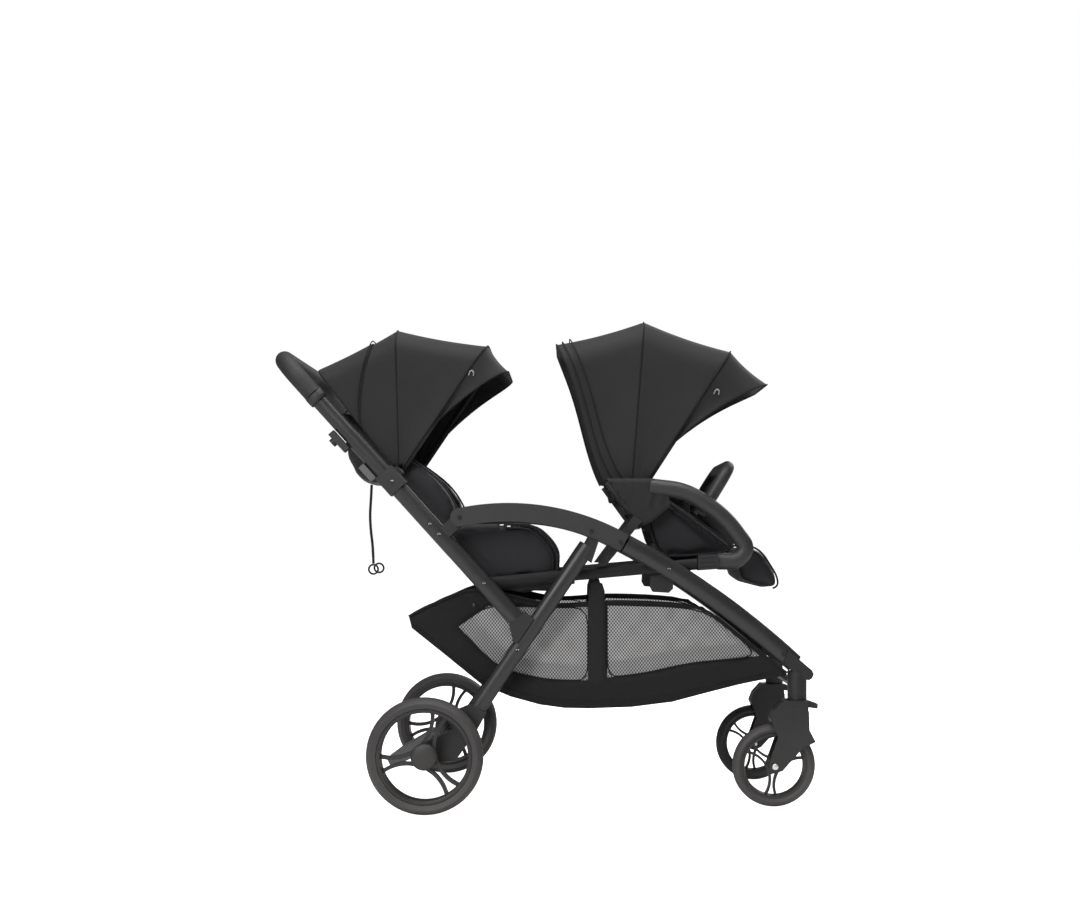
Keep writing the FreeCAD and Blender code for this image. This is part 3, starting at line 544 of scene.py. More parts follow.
def hoop_line(canopy, angle_at, reach_top, lift):
    """Points along a canopy's section at an angle, from the right foot over the crown."""
    bm = bmesh.new()
    draw_hoop(bm, canopy["half"] + lift, HOOP_R, SHOULDER, canopy["foot"])
    line = []
    for vertex in sorted(bm.verts, key=lambda v: math.atan2(v.co.x - canopy["foot"] + 0.001, v.co.y),
                         reverse=True):
        height = (vertex.co.x - canopy["foot"]) / (HOOP_R - canopy["foot"])
        angle = angle_at(height)
        foot = canopy["foot"]
        if canopy["hem"]:
            foot = canopy["hem"] / math.sin(math.radians(angle))
        reach = foot + height * (reach_top - foot) + lift
        line.append((canopy["pivot"][0] + reach * math.cos(math.radians(angle)), vertex.co.y,
                     canopy["pivot"][1] + reach * math.sin(math.radians(angle))))
    bm.free()
    return line


for name, canopy in CANOPIES.items():
    fixed, centre, front = canopy["bodies"]
    hem, middle, fore = canopy["bows"]
    pivot = canopy["pivot"]
    back_gore = gore(name + "_hood_back_gore", canopy, hem, middle, 14)
    fan_blend(back_gore)
    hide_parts(name + "_canopy_back_panel")
    fore_gore = gore(name + "_hood_front_gore", canopy, middle, fore, 14)
    fan_blend(fore_gore)
    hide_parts(name + "_canopy_centre_panel")

    # the visor narrows to a point low on each side, and its free edge is piped
    def visor_edge(height, canopy=canopy, fore=fore):
        low = (canopy["visor_low"] - canopy["foot"]) / (fore[1] - canopy["foot"])
        grown = min(max((height - low) / (1 - low), 0.0), 1.0)
        return fore[0] - (fore[0] - canopy["tip"][0]) * grown ** 0.85

    visor = gore(name + "_hood_visor", canopy, fore, canopy["tip"], 6, 0.0006, visor_edge)
    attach(visor, front)
    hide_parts(name + "_canopy_visor")

    # piped seams over both bows, the visor's edge and the back hem
    for label, reach, angle_at, body, thick, lift in (
            ("centre_seam", middle[1], lambda h: middle[0], centre, 0.0011, 0.0006),
            ("front_seam", fore[1], lambda h: fore[0], front, 0.0019, 0.0010),
            ("visor_piping", canopy["tip"][1], visor_edge, front, 0.0017, 0.0004),
            ("back_hem", hem[1], lambda h: hem[0] + hem_flare(canopy, h), fixed, 0.0018, 0.0004)):
        piping = cord_piece(name + "_hood_" + label, hoop_line(canopy, angle_at, reach, lift),
                            thick, edge_tape)
        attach(piping, body)

    # the springy flat bows inside the cloth
    for label, (angle, reach), body in (("centre", middle, centre), ("front", fore, front)):
        bm = bmesh.new()
        draw_hoop(bm, canopy["half"] - BOW_INSET, reach - BOW_INSET, SHOULDER - BOW_INSET, BOW_FOOT)
        bmesh.ops.translate(bm, verts=bm.verts, vec=(0, 0, -BOW_WIDE / 2))
        strip = bmesh.ops.extrude_edge_only(bm, edges=bm.edges[:])
        bmesh.ops.translate(bm, verts=verts_of(strip["geom"]), vec=(0, 0, BOW_WIDE))
        bmesh.ops.rotate(bm, verts=bm.verts, cent=(0, 0, 0),
                         matrix=Matrix.Rotation(math.radians(-angle), 3, "Y"))
        bmesh.ops.translate(bm, verts=bm.verts, vec=(pivot[0], 0, pivot[1]))
        bmesh.ops.recalc_face_normals(bm, faces=bm.faces)
        bow = piece_from(bm, name + "_hood_" + label + "_bow", black_plastic)
        thicken(bow, BOW_THICK, 0.0)
        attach(bow, body)
        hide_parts(name + "_canopy_" + label + "_bow")
    # a reflective pull tab is sewn into each front seam
    tab_x, tab_z = canopy["tab"]
    for side, label in SIDES:
        out = side * (canopy["half"] - 0.002)
        loop = [(tab_x + dx, out + side * dy, tab_z + dz) for dx, dy, dz in TAB_LOOP]
        tab = cord_piece(name + "_hood_tab_" + label, loop, 0.0016, tab_tape)
        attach(tab, front)

# the rear hood's storm flap covers a zip over the back gore; its free edge is bound
rear_hood = CANOPIES["rear"]
FLAP_TOP, FLAP_BOTTOM = 102.0, 128.5
FLAP_DROP, FLAP_CURVE = 0.61, 1.3
FLAP_LIFT = 0.0030


def flap_edge(height):
    """The angle of the flap's free edge: near the crown it is well forward, low down at the hem."""
    return FLAP_TOP + (FLAP_BOTTOM - FLAP_TOP) * min(max(1 - height, 0.0) / FLAP_DROP, 1.0) ** FLAP_CURVE


storm_flap = gore("rear_hood_storm_flap", rear_hood, rear_hood["bows"][0], rear_hood["bows"][1], 8,
                  FLAP_LIFT, flap_edge, True)
flap_binding = cord_piece("rear_hood_flap_binding", hoop_line(rear_hood, flap_edge, 0.2945, 0.0040),
                          0.0013, edge_tape)
for piece in (storm_flap, flap_binding):
    fan_blend(piece)

# two ribs of piping run beside the front hood's back hem
front_hood = CANOPIES["front"]
HEM_ANGLE, HEM_REACH = front_hood["bows"][0]
RIB_INSETS = (0.014, 0.031)
RIB_REACH = HEM_REACH - 0.0015
for number, inset in enumerate(RIB_INSETS):
    def rib_at(height, inset=inset):
        """The rib's angle, a constant distance in from the flared hem."""
        reach = front_hood["foot"] + height * (HEM_REACH - front_hood["foot"])
        return HEM_ANGLE + hem_flare(front_hood, height) - math.degrees(inset / reach)

    rib = cord_piece(f"front_hood_rib_{number}", hoop_line(front_hood, rib_at, RIB_REACH + inset * 0.02,
                     0.0016), 0.0013, edge_tape)
    fan_blend(rib)

# ---------------------------------------------------------------- padded seats and backrests
# Foam and wadding sewn into smooth dark cloth: two seat tubs with side wings, two backrests with
# side bolsters, the calf flap and the pouch behind the rear backrest.
seat_cloth = cloth_material("seat_cloth", (0.0135, 0.0135, 0.0160), 2600.0, 0.55, 0.08, 0.0020)
seat_piping = cloth_material("seat_piping", (0.010, 0.010, 0.011), 2400.0, 0.6, 0.08, 0.0002)
BACK_AT = Vector((-0.241, 0.0, 0.603))          # where the handle line passes the side arch
BACK_SLOPE = math.radians(132.1)
SIM_FRAMES = 20
FILLING_PRESSURE, FILLING_CAP = 4.0, 0.006
cushions = []


def on_back(up, forward, y=0.0):
    """A point so far up the handle line and so far in front of it."""
    along = Vector((math.cos(BACK_SLOPE), 0, math.sin(BACK_SLOPE)))
    ahead = Vector((math.sin(BACK_SLOPE), 0, -math.cos(BACK_SLOPE)))
    return BACK_AT + along * up + ahead * forward + Vector((0, y, 0))


def side_view(points):
    """Side-view points given in millimetres, in metres."""
    return [(x / 1000, z / 1000) for x, z in points]


def back_view(points):
    """The same, for points given up the handle line and in front of it."""
    return [(place.x, place.z) for place in (on_back(u / 1000, v / 1000) for u, v in points)]


def stuffed(name, slabs, voxel=0.0055, corner=0.009):
    """The unfilled shape of a cushion: cut slabs with rounded edges, joined by a voxel remesh."""
    bm = bmesh.new()
    for outline, low, high in slabs:
        block = bmesh.new()
        face = block.faces.new([block.verts.new((x, low, z)) for x, z in outline])
        grown = bmesh.ops.extrude_face_region(block, geom=[face])
        bmesh.ops.translate(block, verts=verts_of(grown["geom"]), vec=(0, high - low, 0))
        bmesh.ops.recalc_face_normals(block, faces=block.faces)
        bmesh.ops.bevel(block, geom=block.edges[:], offset=min(corner, (high - low) * 0.35),
                        segments=3, profile=0.5, affect="EDGES", material=-1, clamp_overlap=True)
        scrap = bpy.data.meshes.new("block")
        block.to_mesh(scrap)
        block.free()
        bm.from_mesh(scrap)
        bpy.data.meshes.remove(scrap)
    piece = piece_from(bm, name, seat_cloth)
    join = piece.modifiers.new("join", "REMESH")
    join.mode = "VOXEL"
    join.voxel_size = voxel
    join.use_smooth_shade = True
    bpy.context.view_layer.update()
    joined = bpy.data.meshes.new_from_object(piece.evaluated_get(bpy.context.evaluated_depsgraph_get()))
    piece.modifiers.clear()
    piece.data = joined
    cushions.append((piece, joined))
    return piece


def fill_cushions(pressure, cap):
    """Inflates every cushion as cloth for a moment, and caps how far any point may move."""
    scene = bpy.context.scene
    for piece, _ in cushions:
        cloth = piece.modifiers.new("filling", "CLOTH")
        cloth.settings.use_pressure = True
        cloth.settings.uniform_pressure_force = pressure
        cloth.settings.effector_weights.gravity = 0
        cloth.settings.quality = 4
        cloth.settings.tension_stiffness = 12
        cloth.settings.compression_stiffness = 12
        cloth.point_cache.frame_start = 1
        cloth.point_cache.frame_end = SIM_FRAMES
    for step in range(1, SIM_FRAMES + 1):
        scene.frame_set(step)
    depsgraph = bpy.context.evaluated_depsgraph_get()
    for piece, flat in cushions:
        filled = piece.evaluated_get(depsgraph).data
        before = np.empty(len(flat.vertices) * 3)
        after = np.empty(len(flat.vertices) * 3)
        flat.vertices.foreach_get("co", before)
        filled.vertices.foreach_get("co", after)
        move = (after - before).reshape(-1, 3)
        size = np.linalg.norm(move, axis=1, keepdims=True)
        move *= np.minimum(1.0, cap / np.maximum(size, 1e-9))
        settled = before.reshape(-1, 3) + move
        piece.modifiers.clear()
        flat.vertices.foreach_set("co", settled.ravel())
        flat.update()
    scene.frame_set(1)
    for piece, flat in cushions:
        flat.materials.clear()
        flat.materials.append(seat_cloth)
        flat.shade_smooth()


REAR_WING = side_view([(-112, 478), (8, 472), (25, 486), (31, 533), (22, 556), (2, 580), (-27, 604),
                       (-214, 606), (-160, 540)])
rear_seat = stuffed("rear_seat_tub", [
    (side_view([(-146, 478), (8, 474), (23, 489), (26, 518), (0, 514), (-60, 504), (-146, 510)]),
     -0.183, 0.183), (REAR_WING, -0.184, -0.170), (REAR_WING, 0.170, 0.184)])
FRONT_WING = side_view([(244, 527), (390, 538), (395, 552), (267, 647), (226, 662), (214, 640),
                        (223, 575)])
front_seat = stuffed("front_seat_tub", [
    (side_view([(240, 528), (388, 540), (390, 551), (300, 552), (232, 562)]), -0.164, 0.164),
    (FRONT_WING, -0.165, -0.152), (FRONT_WING, 0.152, 0.165)])
REAR_BOLSTER = back_view([(-30, 0), (300, 0), (290, 24), (200, 40), (150, 50), (108, 60), (66, 67),
                          (20, 64), (-8, 54), (-34, 30)])
rear_back = stuffed("rear_backrest_cushion", [
    (back_view([(-44, -10), (318, -10), (326, 6), (312, 22), (-16, 28), (-40, 22)]), -0.136, 0.136),
    (REAR_BOLSTER, -0.137, -0.103), (REAR_BOLSTER, 0.103, 0.137)])
FRONT_BOLSTER = side_view([(200, 624), (222, 634), (201, 690), (124, 872), (108, 866), (180, 680)])
front_back = stuffed("front_backrest_cushion", [
    (side_view([(192, 621), (210, 629), (186, 690), (106, 888), (97, 898), (79, 888)]), -0.136, 0.136),
    (FRONT_BOLSTER, -0.137, -0.104), (FRONT_BOLSTER, 0.104, 0.137)])
calf_flap = stuffed("calf_flap", [
    (side_view([(422, 548), (442, 554), (466, 539), (484, 510), (497, 489), (499, 470), (488, 468),
                (446, 478), (424, 486), (417, 512)]), -0.143, 0.143)])
pouch = stuffed("back_pouch", [
    (back_view([(153, -17), (153, -37), (173, -49), (194, -54), (214, -45), (250, -39), (258, -17)]),
     -0.108, 0.108)], 0.005)
fill_cushions(FILLING_PRESSURE, FILLING_CAP)
for piece, body, node, fill in ((rear_seat, "front_frame", "rear_seat_base", 0.6),
                                (front_seat, "front_frame", "front_seat_base", 0.6),
                                (rear_back, "rear_backrest", "rear_backrest_pad", 0.7),
                                (front_back, "front_backrest", "front_backrest_pad", 0.7),
                                (calf_flap, "calf_rest", "calf_rest", 0.5),
                                (pouch, "rear_backrest", "back_pocket", 0.3)):
    soften(piece)
    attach(piece, body)
    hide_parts(node)

# ---------------------------------------------------------------- seams and piping on the seats
# Round piping is sewn into every edge of the side wings, down both bolsters and round the calf
# flap, and a double row follows the rear wing's front edge.
PIPING_R = 0.0021


def both_sides(name, outline, y, body, radius=PIPING_R, material=seat_piping, closed=False):
    """The same cord on the right and on the left."""
    for side, label in SIDES:
        cord = cord_piece(name + "_" + label, [(x, side * y, z) for x, z in outline], radius,
                          material, closed)
        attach(cord, body)


both_sides("rear_wing_front_piping", side_view([(-90, 602), (-58, 603), (-26, 601), (1, 578),
           (19, 555), (27, 532), (24, 506)]), 0.186, "front_frame", 0.0024)
both_sides("rear_wing_second_piping", side_view([(-84, 595), (-56, 596), (-31, 591), (-8, 571),
           (10, 549), (17, 530), (15, 506)]), 0.1885, "front_frame", 0.0016)
both_sides("rear_wing_seam", side_view([(-140, 487), (-104, 488), (-40, 495), (18, 503), (27, 506)]),
           0.1885, "front_frame", 0.0014)
both_sides("rear_skirt_hem", side_view([(-140, 471), (-47, 467), (8, 470), (22, 482)]), 0.186,
           "front_frame", 0.0018)
both_sides("front_wing_piping", side_view([(215, 640), (224, 662), (267, 648), (330, 602),
           (386, 560), (393, 550), (386, 543), (269, 533), (246, 540), (228, 571), (217, 620)]),
           0.1675, "front_frame", 0.0024)
both_sides("front_wing_second_piping", side_view([(234, 652), (266, 640), (328, 596), (378, 557)]),
           0.1695, "front_frame", 0.0014)
both_sides("rear_bolster_piping", back_view([(-12, 57), (20, 68), (66, 71), (108, 64), (150, 54),
           (200, 44), (294, 28)]), 0.132, "rear_backrest")
both_sides("front_bolster_piping", side_view([(212, 628), (228, 640), (206, 692), (166, 790),
           (128, 876)]), 0.132, "front_backrest")
both_sides("calf_flap_piping", side_view([(430, 555), (445, 557), (468, 542), (487, 512), (500, 490),
           (502, 468), (490, 465)]), 0.143, "calf_rest", 0.0022)


def ribbon(name, path, width, thickness, material, across_to=(0, 1, 0)):
    """Flat webbing along a path, as wide as it is woven."""
    bm = bmesh.new()
    reach = Vector(across_to).normalized() * width / 2
    edge = bm.edges.new([bm.verts.new(Vector(path[0]) - reach), bm.verts.new(Vector(path[0]) + reach)])
    for here, there in zip(path, path[1:]):
        grown = bmesh.ops.extrude_edge_only(bm, edges=[edge])["geom"]
        bmesh.ops.translate(bm, verts=verts_of(grown), vec=Vector(there) - Vector(here))
        edge = [g for g in grown if isinstance(g, bmesh.types.BMEdge)][0]
    bmesh.ops.recalc_face_normals(bm, faces=bm.faces)
    strap = piece_from(bm, name, material)
    thicken(strap, thickness, 0.0)
    soften(strap)
    return strap


# ---------------------------------------------------------------- harnesses
# Each seat has two shoulder straps of flat webbing with padded sleeves, sewn to its backrest, that
# run down towards the harness buckle.
for side, label in SIDES:
    rear_path = [on_back(u, v, side * y) for u, v, y in
                 ((0.262, 0.020, 0.042), (0.256, 0.036, 0.042), (0.200, 0.038, 0.045),
                  (0.120, 0.040, 0.050), (0.050, 0.044, 0.056), (0.010, 0.052, 0.058))]
    front_path = [Vector((x, side * y, z)) for x, y, z in
                  ((0.118, 0.042, 0.842), (0.134, 0.042, 0.840), (0.157, 0.045, 0.790),
                   (0.186, 0.050, 0.725), (0.208, 0.056, 0.680), (0.226, 0.058, 0.655))]
    for seat, path in (("rear", rear_path), ("front", front_path)):
        strap = ribbon(seat + "_shoulder_strap_" + label, path, 0.025, 0.0018, webbing)
        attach(strap, seat + "_backrest")
        sleeve = ribbon(seat + "_shoulder_pad_" + label, path[1:5], 0.046, 0.010, seat_cloth)
        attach(sleeve, seat + "_backrest")

# ---------------------------------------------------------------- front seat's gusset
# A soft gathered gusset closes the gap between the front hood's hem and the seat's side wing,
# with the end of a small strap hanging behind it.
GUSSET = side_view([(130, 700), (230, 700), (233, 672), (262, 668), (264, 640), (226, 608), (205, 598),
                    (187, 620), (166, 637), (139, 688)])
GUSSET_OUT = 0.2010
GATHER, GATHER_FROM = 0.0022, 0.60
for side, label in SIDES:
    bm = bmesh.new()
    face = bm.faces.new([bm.verts.new((x, side * GUSSET_OUT, z)) for x, z in GUSSET])
    bmesh.ops.triangulate(bm, faces=[face])
    bmesh.ops.subdivide_edges(bm, edges=bm.edges[:], cuts=9, use_grid_fill=True)
    for vertex in bm.verts:
        gather = math.sin(vertex.co.x * 260 + math.sin(vertex.co.z * 90) * 1.6)
        vertex.co.y += side * GATHER * gather * min(max((vertex.co.z - GATHER_FROM) * 12, 0.0), 1.0)
    bmesh.ops.recalc_face_normals(bm, faces=bm.faces)
    gusset = piece_from(bm, "front_gusset_" + label, canopy_cloth)
    thicken(gusset, 0.0012, 0.0)
    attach(gusset, "front_frame")
    tail = ribbon("front_strap_tail_" + label, [Vector((x, side * 0.150, z)) for x, z in side_view(
                  [(139, 690), (143, 676), (146, 664), (147, 654)])], 0.010, 0.0016, webbing,
                  (1, 0, 0))
    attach(tail, "front_frame")

# ---------------------------------------------------------------- side cloths
# A plain curtain fills the corner between the rear wing and the handle tube, a short skirt
# hangs below the rear seat over its rail, and a lining stands behind the front wing.
CURTAIN = side_view([(-248, 602), (-98, 604), (-98, 474), (-130, 474)])
SKIRT = side_view([(-128, 490), (-128, 470), (-100, 466), (-46, 457), (3, 467), (62, 476), (62, 490)])
LINING = side_view([(214, 640), (222, 668), (267, 655), (332, 612), (388, 570), (402, 556), (394, 543),
                    (240, 536)])
CLOTH_WALL = 0.0012


def cut_panel(loops, y, longest):
    """A flat panel between closed outlines, divided until its edges are short enough to drape."""
    bm = bmesh.new()
    edges = []
    for loop in loops:
        corners = [bm.verts.new((x, y, z)) for x, z in loop]
        edges += [bm.edges.new(pair) for pair in zip(corners, corners[1:] + corners[:1])]
    bmesh.ops.triangle_fill(bm, use_beauty=True, use_dissolve=False, edges=edges)
    for _ in range(3):
        long_edges = [e for e in bm.edges if e.calc_length() > longest]
        bmesh.ops.subdivide_edges(bm, edges=long_edges, cuts=1)
        bmesh.ops.triangulate(bm, faces=bm.faces)
    return bm


def flat_cut(name, outline, y, material, wave):
    """A flat-cut sheet standing at one side, with slight gathers."""
    bm = cut_panel([outline], y, 0.02)
    for vertex in bm.verts:
        vertex.co.y += wave * math.sin(vertex.co.x * 120 + math.sin(vertex.co.z * 50))
    bmesh.ops.recalc_face_normals(bm, faces=bm.faces)
    piece = piece_from(bm, name, material)
    thicken(piece, CLOTH_WALL, 0.0)
    return piece


# each cloth's flat width, length and area are measured on the finished cloth and rounded
for side, label in SIDES:
    for name, outline, out, cut, area, holder in (
            ("rear_seat_curtain_", CURTAIN, 0.1865, (0.131, 0.151), 0.0121, "lower_handle_tubes"),
            ("rear_seat_skirt_", SKIRT, 0.1895, (0.034, 0.191), 0.0049, "seat_rails"),
            ("front_wing_lining_", LINING, 0.1490, (0.133, 0.189), 0.0147, "front_seat_tub")):
        cloth = flat_cut(name + label, outline, side * out, seat_cloth, 0.0010)
        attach(cloth, "front_frame")

# ---------------------------------------------------------------- basket
# A deep tub under both seats: black cloth side walls with two windows of open knitted mesh, a
# slung bottom that runs up behind, a bound rim, and a broad vertical band that carries the load.
RIM = side_view([(-291, 406), (-262, 424), (-228, 437), (-190, 455), (-152, 465), (-106, 458),
                 (-60, 448), (-17, 437), (26, 431), (78, 434), (131, 439), (232, 437), (334, 428),
                 (390, 384), (446, 338), (513, 286)])
UNDERSIDE = side_view([(511, 281), (456, 271), (412, 262), (341, 244), (270, 225), (182, 214),
                       (94, 211), (40, 212), (-12, 219), (-74, 236), (-136, 262), (-210, 322),
                       (-285, 382)])
BACK_WINDOW = side_view([(-187, 385), (-157, 407), (-123, 429), (-56, 429), (20, 425), (90, 427),
                         (90, 345), (90, 271), (46, 271), (2, 273), (-61, 286), (-98, 299),
                         (-135, 331), (-161, 358)])
FRONT_WINDOW = side_view([(131, 431), (232, 430), (338, 421), (396, 374), (455, 323), (385, 315),
                          (315, 309), (267, 299), (219, 288), (176, 282), (131, 277), (131, 350)])
BASKET_HALF = 0.193
WALL_BACK, WALL_LONG, WALL_FOOT, WALL_TALL = -0.29, 0.79, 0.215, 0.225
SEAM = side_view([(-285, 388), (-205, 331), (-130, 274), (-70, 249), (-12, 233), (94, 226),
                  (182, 228), (270, 240), (341, 256), (412, 270), (492, 287)])


def bulge(x, z):
    """How far the side wall swells at a point of the side view."""
    along = math.sin(math.pi * min(max((x - WALL_BACK) / WALL_LONG, 0.0), 1.0))
    up = math.sin(math.pi * min(max((z - WALL_FOOT) / WALL_TALL, 0.0), 1.0))
    crease = 0.0009 * math.sin(x * 41 + z * 23) + 0.0006 * math.sin(x * 87 - z * 61)
    return along * (0.001 + 0.003 * up) + crease * up


def wall_panel(name, side, loops, material):
    """A flat-cut panel, with holes where more loops are given, swelled like the wall."""
    bm = cut_panel(loops, side * BASKET_HALF, 0.028)
    for vertex in bm.verts:
        vertex.co.y += side * bulge(vertex.co.x, vertex.co.z)
    bmesh.ops.recalc_face_normals(bm, faces=bm.faces)
    if sum(face.normal.y for face in bm.faces) * side < 0:
        bmesh.ops.reverse_faces(bm, faces=bm.faces)
    return piece_from(bm, name, material)


# knitted mesh: staggered rows of small holes between dark yarns; each hole is half open, and its pale
# colour is painted light, the bright backdrop as if seen through it
knit_cloth = cloth_material("knitted_mesh", (0.05, 0.05, 0.05), 2000.0, 0.8, 0.08, 0.0004)
knit = knit_cloth.node_tree
spot = knit.nodes.new("ShaderNodeTexCoord")
axes = knit.nodes.new("ShaderNodeSeparateXYZ")
knit.links.new(spot.outputs["Object"], axes.inputs[0])
lattice = value_node(knit, "MULTIPLY",
                     value_node(knit, "COSINE", value_node(knit, "MULTIPLY", axes.outputs[0], 967.0)),
                     value_node(knit, "COSINE", value_node(knit, "MULTIPLY", axes.outputs[2], 785.0)))
# in the holes the base colour is painted light (the pale backdrop seen through the mesh); the alpha is
# the mesh's real openness
for socket, yarn_value, hole_value in (("Alpha", 1.0, 0.62), ("Base Color", 0.045, 0.55)):
    holes = knit.nodes.new("ShaderNodeMapRange")
    holes.inputs["From Min"].default_value = -0.15
    holes.inputs["From Max"].default_value = 0.25
    holes.inputs["To Min"].default_value = yarn_value
    holes.inputs["To Max"].default_value = hole_value
    knit.links.new(lattice, holes.inputs["Value"])
    knit.links.new(holes.outputs[0], knit.nodes["Principled BSDF"].inputs[socket])
basket_cloth = cloth_material("basket_cloth", (0.0065, 0.0065, 0.0068), 1700.0, 0.78, 0.08, 0.0022)
band_cloth = cloth_material("basket_band", (0.0095, 0.0095, 0.0100), 2100.0, 0.75, 0.08, 0.0006)

basket_pieces = []
for side, label in SIDES:
    wall = wall_panel("basket_wall_" + label, side, [RIM + UNDERSIDE, BACK_WINDOW, FRONT_WINDOW],
                      basket_cloth)
    thicken(wall, CLOTH_WALL, 0.0)
    basket_pieces.append(wall)
    for place, loop in (("back", BACK_WINDOW), ("front", FRONT_WINDOW)):
        window = wall_panel("basket_" + place + "_window_" + label, side, [loop], knit_cloth)
        basket_pieces.append(window)
        frame_cord = cord_piece("basket_" + place + "_window_binding_" + label,
                                [(x, side * (BASKET_HALF + bulge(x, z) + 0.0006), z) for x, z in loop],
                                0.0014, edge_tape, closed=True)
        basket_pieces.append(frame_cord)
    rim_cord = cord_piece("basket_rim_" + label, [(x, side * (BASKET_HALF + 0.0005), z) for x, z in RIM],
                          0.0034, edge_tape)
    seam_cord = cord_piece("basket_seam_" + label, [(x, side * (BASKET_HALF + bulge(x, z) + 0.0004), z)
                           for x, z in SEAM], 0.0013, edge_tape)
    band = ribbon("basket_band_" + label, [Vector((0.109, side * (BASKET_HALF + out), z)) for out, z in
                  ((0.004, 0.486), (0.006, 0.440), (0.007, 0.390), (0.007, 0.330), (0.004, 0.272),
                   (-0.004, 0.222))], 0.038, 0.0018, band_cloth, (1, 0, 0))
    basket_pieces += [rim_cord, seam_cord, band]
    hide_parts("basket_straps")

# the slung bottom, from the front end under the load and up the back to the rim
bottom_line = [Vector((x, 0, z)) for x, z in UNDERSIDE] + [Vector((-0.291, 0, 0.406))]
bottom = ribbon("basket_bottom", bottom_line, 2 * BASKET_HALF, 0.0014, basket_cloth)
basket_pieces.append(bottom)
front_end = ribbon("basket_front_end", [Vector((0.511, 0, 0.281)), Vector((0.510, 0, 0.289)),
                   Vector((0.470, 0, 0.305))], 2 * BASKET_HALF, 0.0014, basket_cloth)
back_end = ribbon("basket_back_end", [Vector((-0.291, 0, 0.406)), Vector((-0.262, 0, 0.418)),
                  Vector((-0.240, 0, 0.424))], 2 * BASKET_HALF, 0.0014, basket_cloth)
basket_pieces += [front_end, back_end]
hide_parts("basket")
# each piece hangs on the front frame and gets a mesh of its own
for piece in basket_pieces:
    cut = piece.name.replace("_right", "").replace("_left", "")
    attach(piece, "front_frame")
    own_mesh(piece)

# ---------------------------------------------------------------- wheel trim
# A domed cap snaps over each rear hub; a raised lip runs round every rim, and the front axle
# bolts show a bright steel head.
REAR_AXLE, REAR_WHEEL_Y = Vector((-0.249, 0, 0.122)), 0.280
FRONT_AXLE, FRONT_WHEEL_Y = Vector((0.487, 0, 0.0885)), 0.180


def turned(name, profile, place, side, material):
    """A piece turned on the lathe: a profile of (radius, out) points spun about the axle."""
    bm = bmesh.new()
    spots = [bm.verts.new((radius, out, 0)) for radius, out in profile]
    for pair in zip(spots, spots[1:]):
        bm.edges.new(pair)
    bmesh.ops.spin(bm, geom=bm.verts[:] + bm.edges[:], cent=(0, 0, 0), axis=(0, 1, 0),
                   angle=math.tau, steps=64, use_merge=True)
    bmesh.ops.remove_doubles(bm, verts=bm.verts, dist=0.00002)
    if side == RIGHT:
        bmesh.ops.scale(bm, verts=bm.verts, vec=(1, -1, 1))
    bmesh.ops.translate(bm, verts=bm.verts, vec=place)
    bmesh.ops.recalc_face_normals(bm, faces=bm.faces)
    piece = piece_from(bm, name, material)
    edge_split = piece.modifiers.new("crisp", "EDGE_SPLIT")
    edge_split.split_angle = math.radians(40)
    return piece


bright_steel = hard_material("bright_steel", (0.80, 0.80, 0.81), 0.35, 1400.0, 0.7, 0.00004, 0.0)
cap_plastic = hard_material("cap_plastic", (0.020, 0.0195, 0.020), 0.5, 900.0)
for side, label in SIDES:
    rear_hub = REAR_AXLE + Vector((0, side * REAR_WHEEL_Y, 0))
    cap = turned("rear_hub_cap_" + label, [(0.0, 0.0252), (0.010, 0.0250), (0.019, 0.0238),
                 (0.0250, 0.0215), (0.0275, 0.0185), (0.0278, 0.0150), (0.0278, 0.004), (0.0, 0.004)],
                 rear_hub, side, cap_plastic)
    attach(cap, "rear_wheel_" + label)
    front_hub = FRONT_AXLE + Vector((0, side * FRONT_WHEEL_Y, 0))
    for facing, where in ((1, "outer"), (-1, "inner")):
        lip = turned("rear_rim_lip_" + where + "_" + label, [(0.0915, 0.0150), (0.0925, 0.0176),
                     (0.0950, 0.0186), (0.0985, 0.0180), (0.1000, 0.0160), (0.0960, 0.0140),
                     (0.0915, 0.0150)], rear_hub, side * facing, rim_plastic)
        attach(lip, "rear_wheel_" + label)
        lip = turned("front_rim_lip_" + where + "_" + label, [(0.0630, 0.0110), (0.0640, 0.0136),
                     (0.0665, 0.0145), (0.0695, 0.0138), (0.0702, 0.0122), (0.0670, 0.0100),
                     (0.0630, 0.0110)], front_hub, side * facing, rim_plastic)
        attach(lip, "front_wheel_" + label)
        head = turned("front_bolt_head_" + where + "_" + label, [(0.0, 0.0312), (0.0045, 0.0311),
                      (0.0062, 0.0302), (0.0068, 0.0290), (0.0068, 0.0268), (0.0, 0.0268)],
                      front_hub, side * facing, bright_steel)
        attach(head, "caster_" + label)

# ---------------------------------------------------------------- screws
# Blackened pan-head screws with a two-hole drive, through the arches, legs and handle tubes.
HEAD_R, HEAD_TALL = 0.0042, 0.0022


def screw_head(name, x, z, y, side, body):
    """A low domed head with its two bright drive holes."""
    place = Vector((x / 1000, side * y, z / 1000))
    head = turned(name, [(0.0, HEAD_TALL), (HEAD_R * 0.6, HEAD_TALL * 0.93), (HEAD_R * 0.9, HEAD_TALL
                  * 0.6), (HEAD_R, 0.0002), (HEAD_R, -0.0008), (0.0, -0.0008)], place, side, steel)
    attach(head, body)
    for offset, end in ((-0.0021, "back"), (0.0021, "front")):
        dot = turned(name + "_" + end + "_pin", [(0.0, HEAD_TALL + 0.0003), (0.0009, HEAD_TALL + 0.0002),
                     (0.0012, HEAD_TALL - 0.0003), (0.0, HEAD_TALL - 0.0004)],
                     place + Vector((offset, 0, 0)), side, bright_steel)
        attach(dot, body)


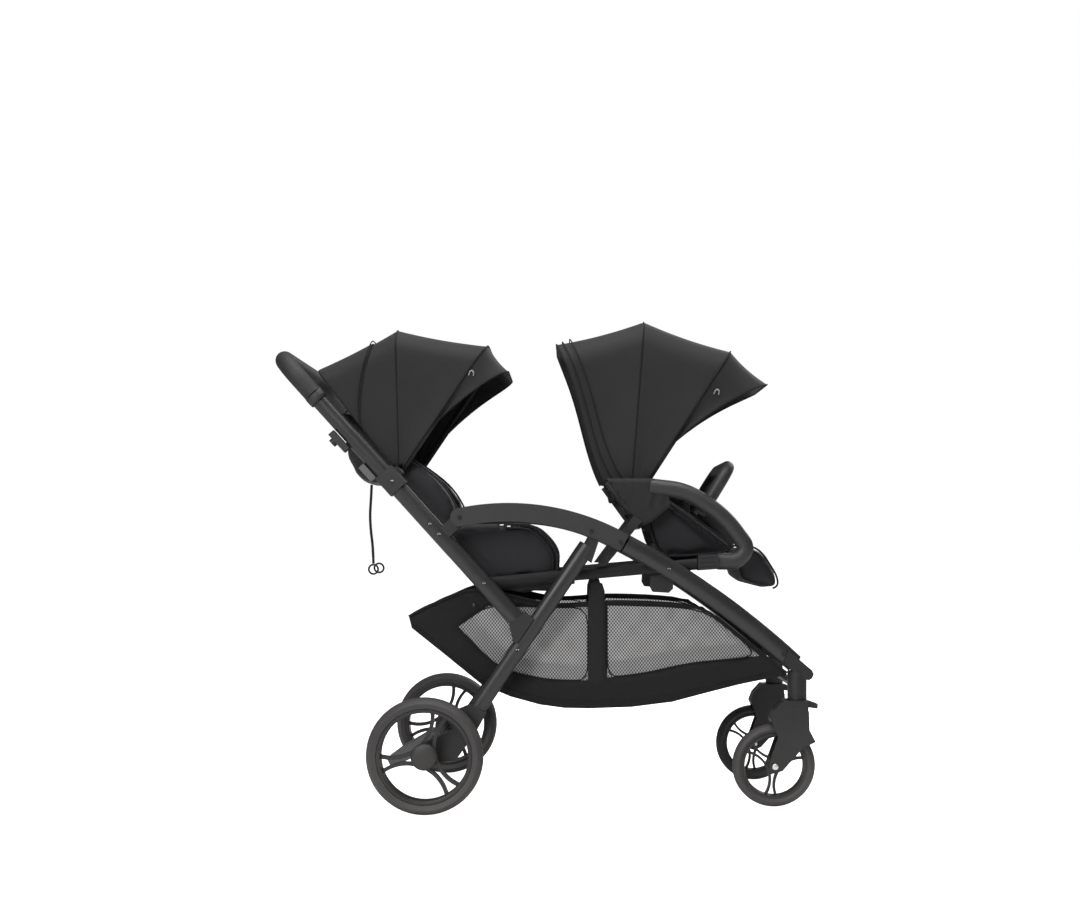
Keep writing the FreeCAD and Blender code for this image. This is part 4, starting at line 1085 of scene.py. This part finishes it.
TUBE_FACE, ARCH_FACE, LEG_FACE = 0.2475, 0.2552, 0.2465
for side, label in SIDES:
    for number, (x, z) in enumerate(((-241, 603), (-222, 582), (-128, 479))):
        screw_head(f"handle_screw_{number}_{label}", x, z, TUBE_FACE, side, "handle")
    for number, (x, z) in enumerate(((-179, 617), (97, 588), (158, 565))):
        screw_head(f"arch_screw_{number}_{label}", x, z, ARCH_FACE - 0.0022, side, "front_frame")
    screw_head("rear_leg_screw_" + label, -58, 340, LEG_FACE, side, "rear_frame")
    screw_head("clamp_screw_" + label, -320, 693, 0.2510, side, "handle")
    screw_head("front_leg_screw_" + label, 260, 509, 0.2370, side, "front_frame")
    snap = turned("basket_snap_" + label, [(0.0, 0.0022), (0.0034, 0.0018), (0.0046, 0.0006),
                  (0.0046, -0.0010), (0.0, -0.0010)], Vector((-0.152, side * 0.1955, 0.431)), side, steel)
    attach(snap, "front_frame")

# ---------------------------------------------------------------- handle collars
# An oval moulded collar finishes the soft grip on each upper tube.
COLLAR_RADII = (0.0195, 0.0150)
COLLAR_RING = 0.008
for side, label in SIDES:
    bm = bmesh.new()
    rim = bmesh.ops.create_circle(bm, segments=48, radius=1.0)["verts"]
    bmesh.ops.scale(bm, verts=rim, vec=(*COLLAR_RADII, 1))
    rings = [bm.edges[:]]
    for _ in range(3):
        grown = bmesh.ops.extrude_edge_only(bm, edges=rings[-1])["geom"]
        bmesh.ops.translate(bm, verts=verts_of(grown), vec=(0, 0, COLLAR_RING))
        rings.append([g for g in grown if isinstance(g, bmesh.types.BMEdge)])
    for edge_ring in (rings[0], rings[-1]):
        bmesh.ops.scale(bm, verts=list({v for e in edge_ring for v in e.verts}), vec=(0.95, 0.94, 1))
    bmesh.ops.rotate(bm, verts=bm.verts, cent=(0, 0, 0),
                     matrix=Matrix.Rotation(math.radians(90) - BACK_SLOPE, 3, "Y"))
    bmesh.ops.translate(bm, verts=bm.verts, vec=on_back(0.348, 0, side * 0.235))
    bmesh.ops.recalc_face_normals(bm, faces=bm.faces)
    collar = piece_from(bm, "grip_collar_" + label, arch_plastic)
    thicken(collar, 0.0012, 1.0)
    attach(collar, "handle_top")
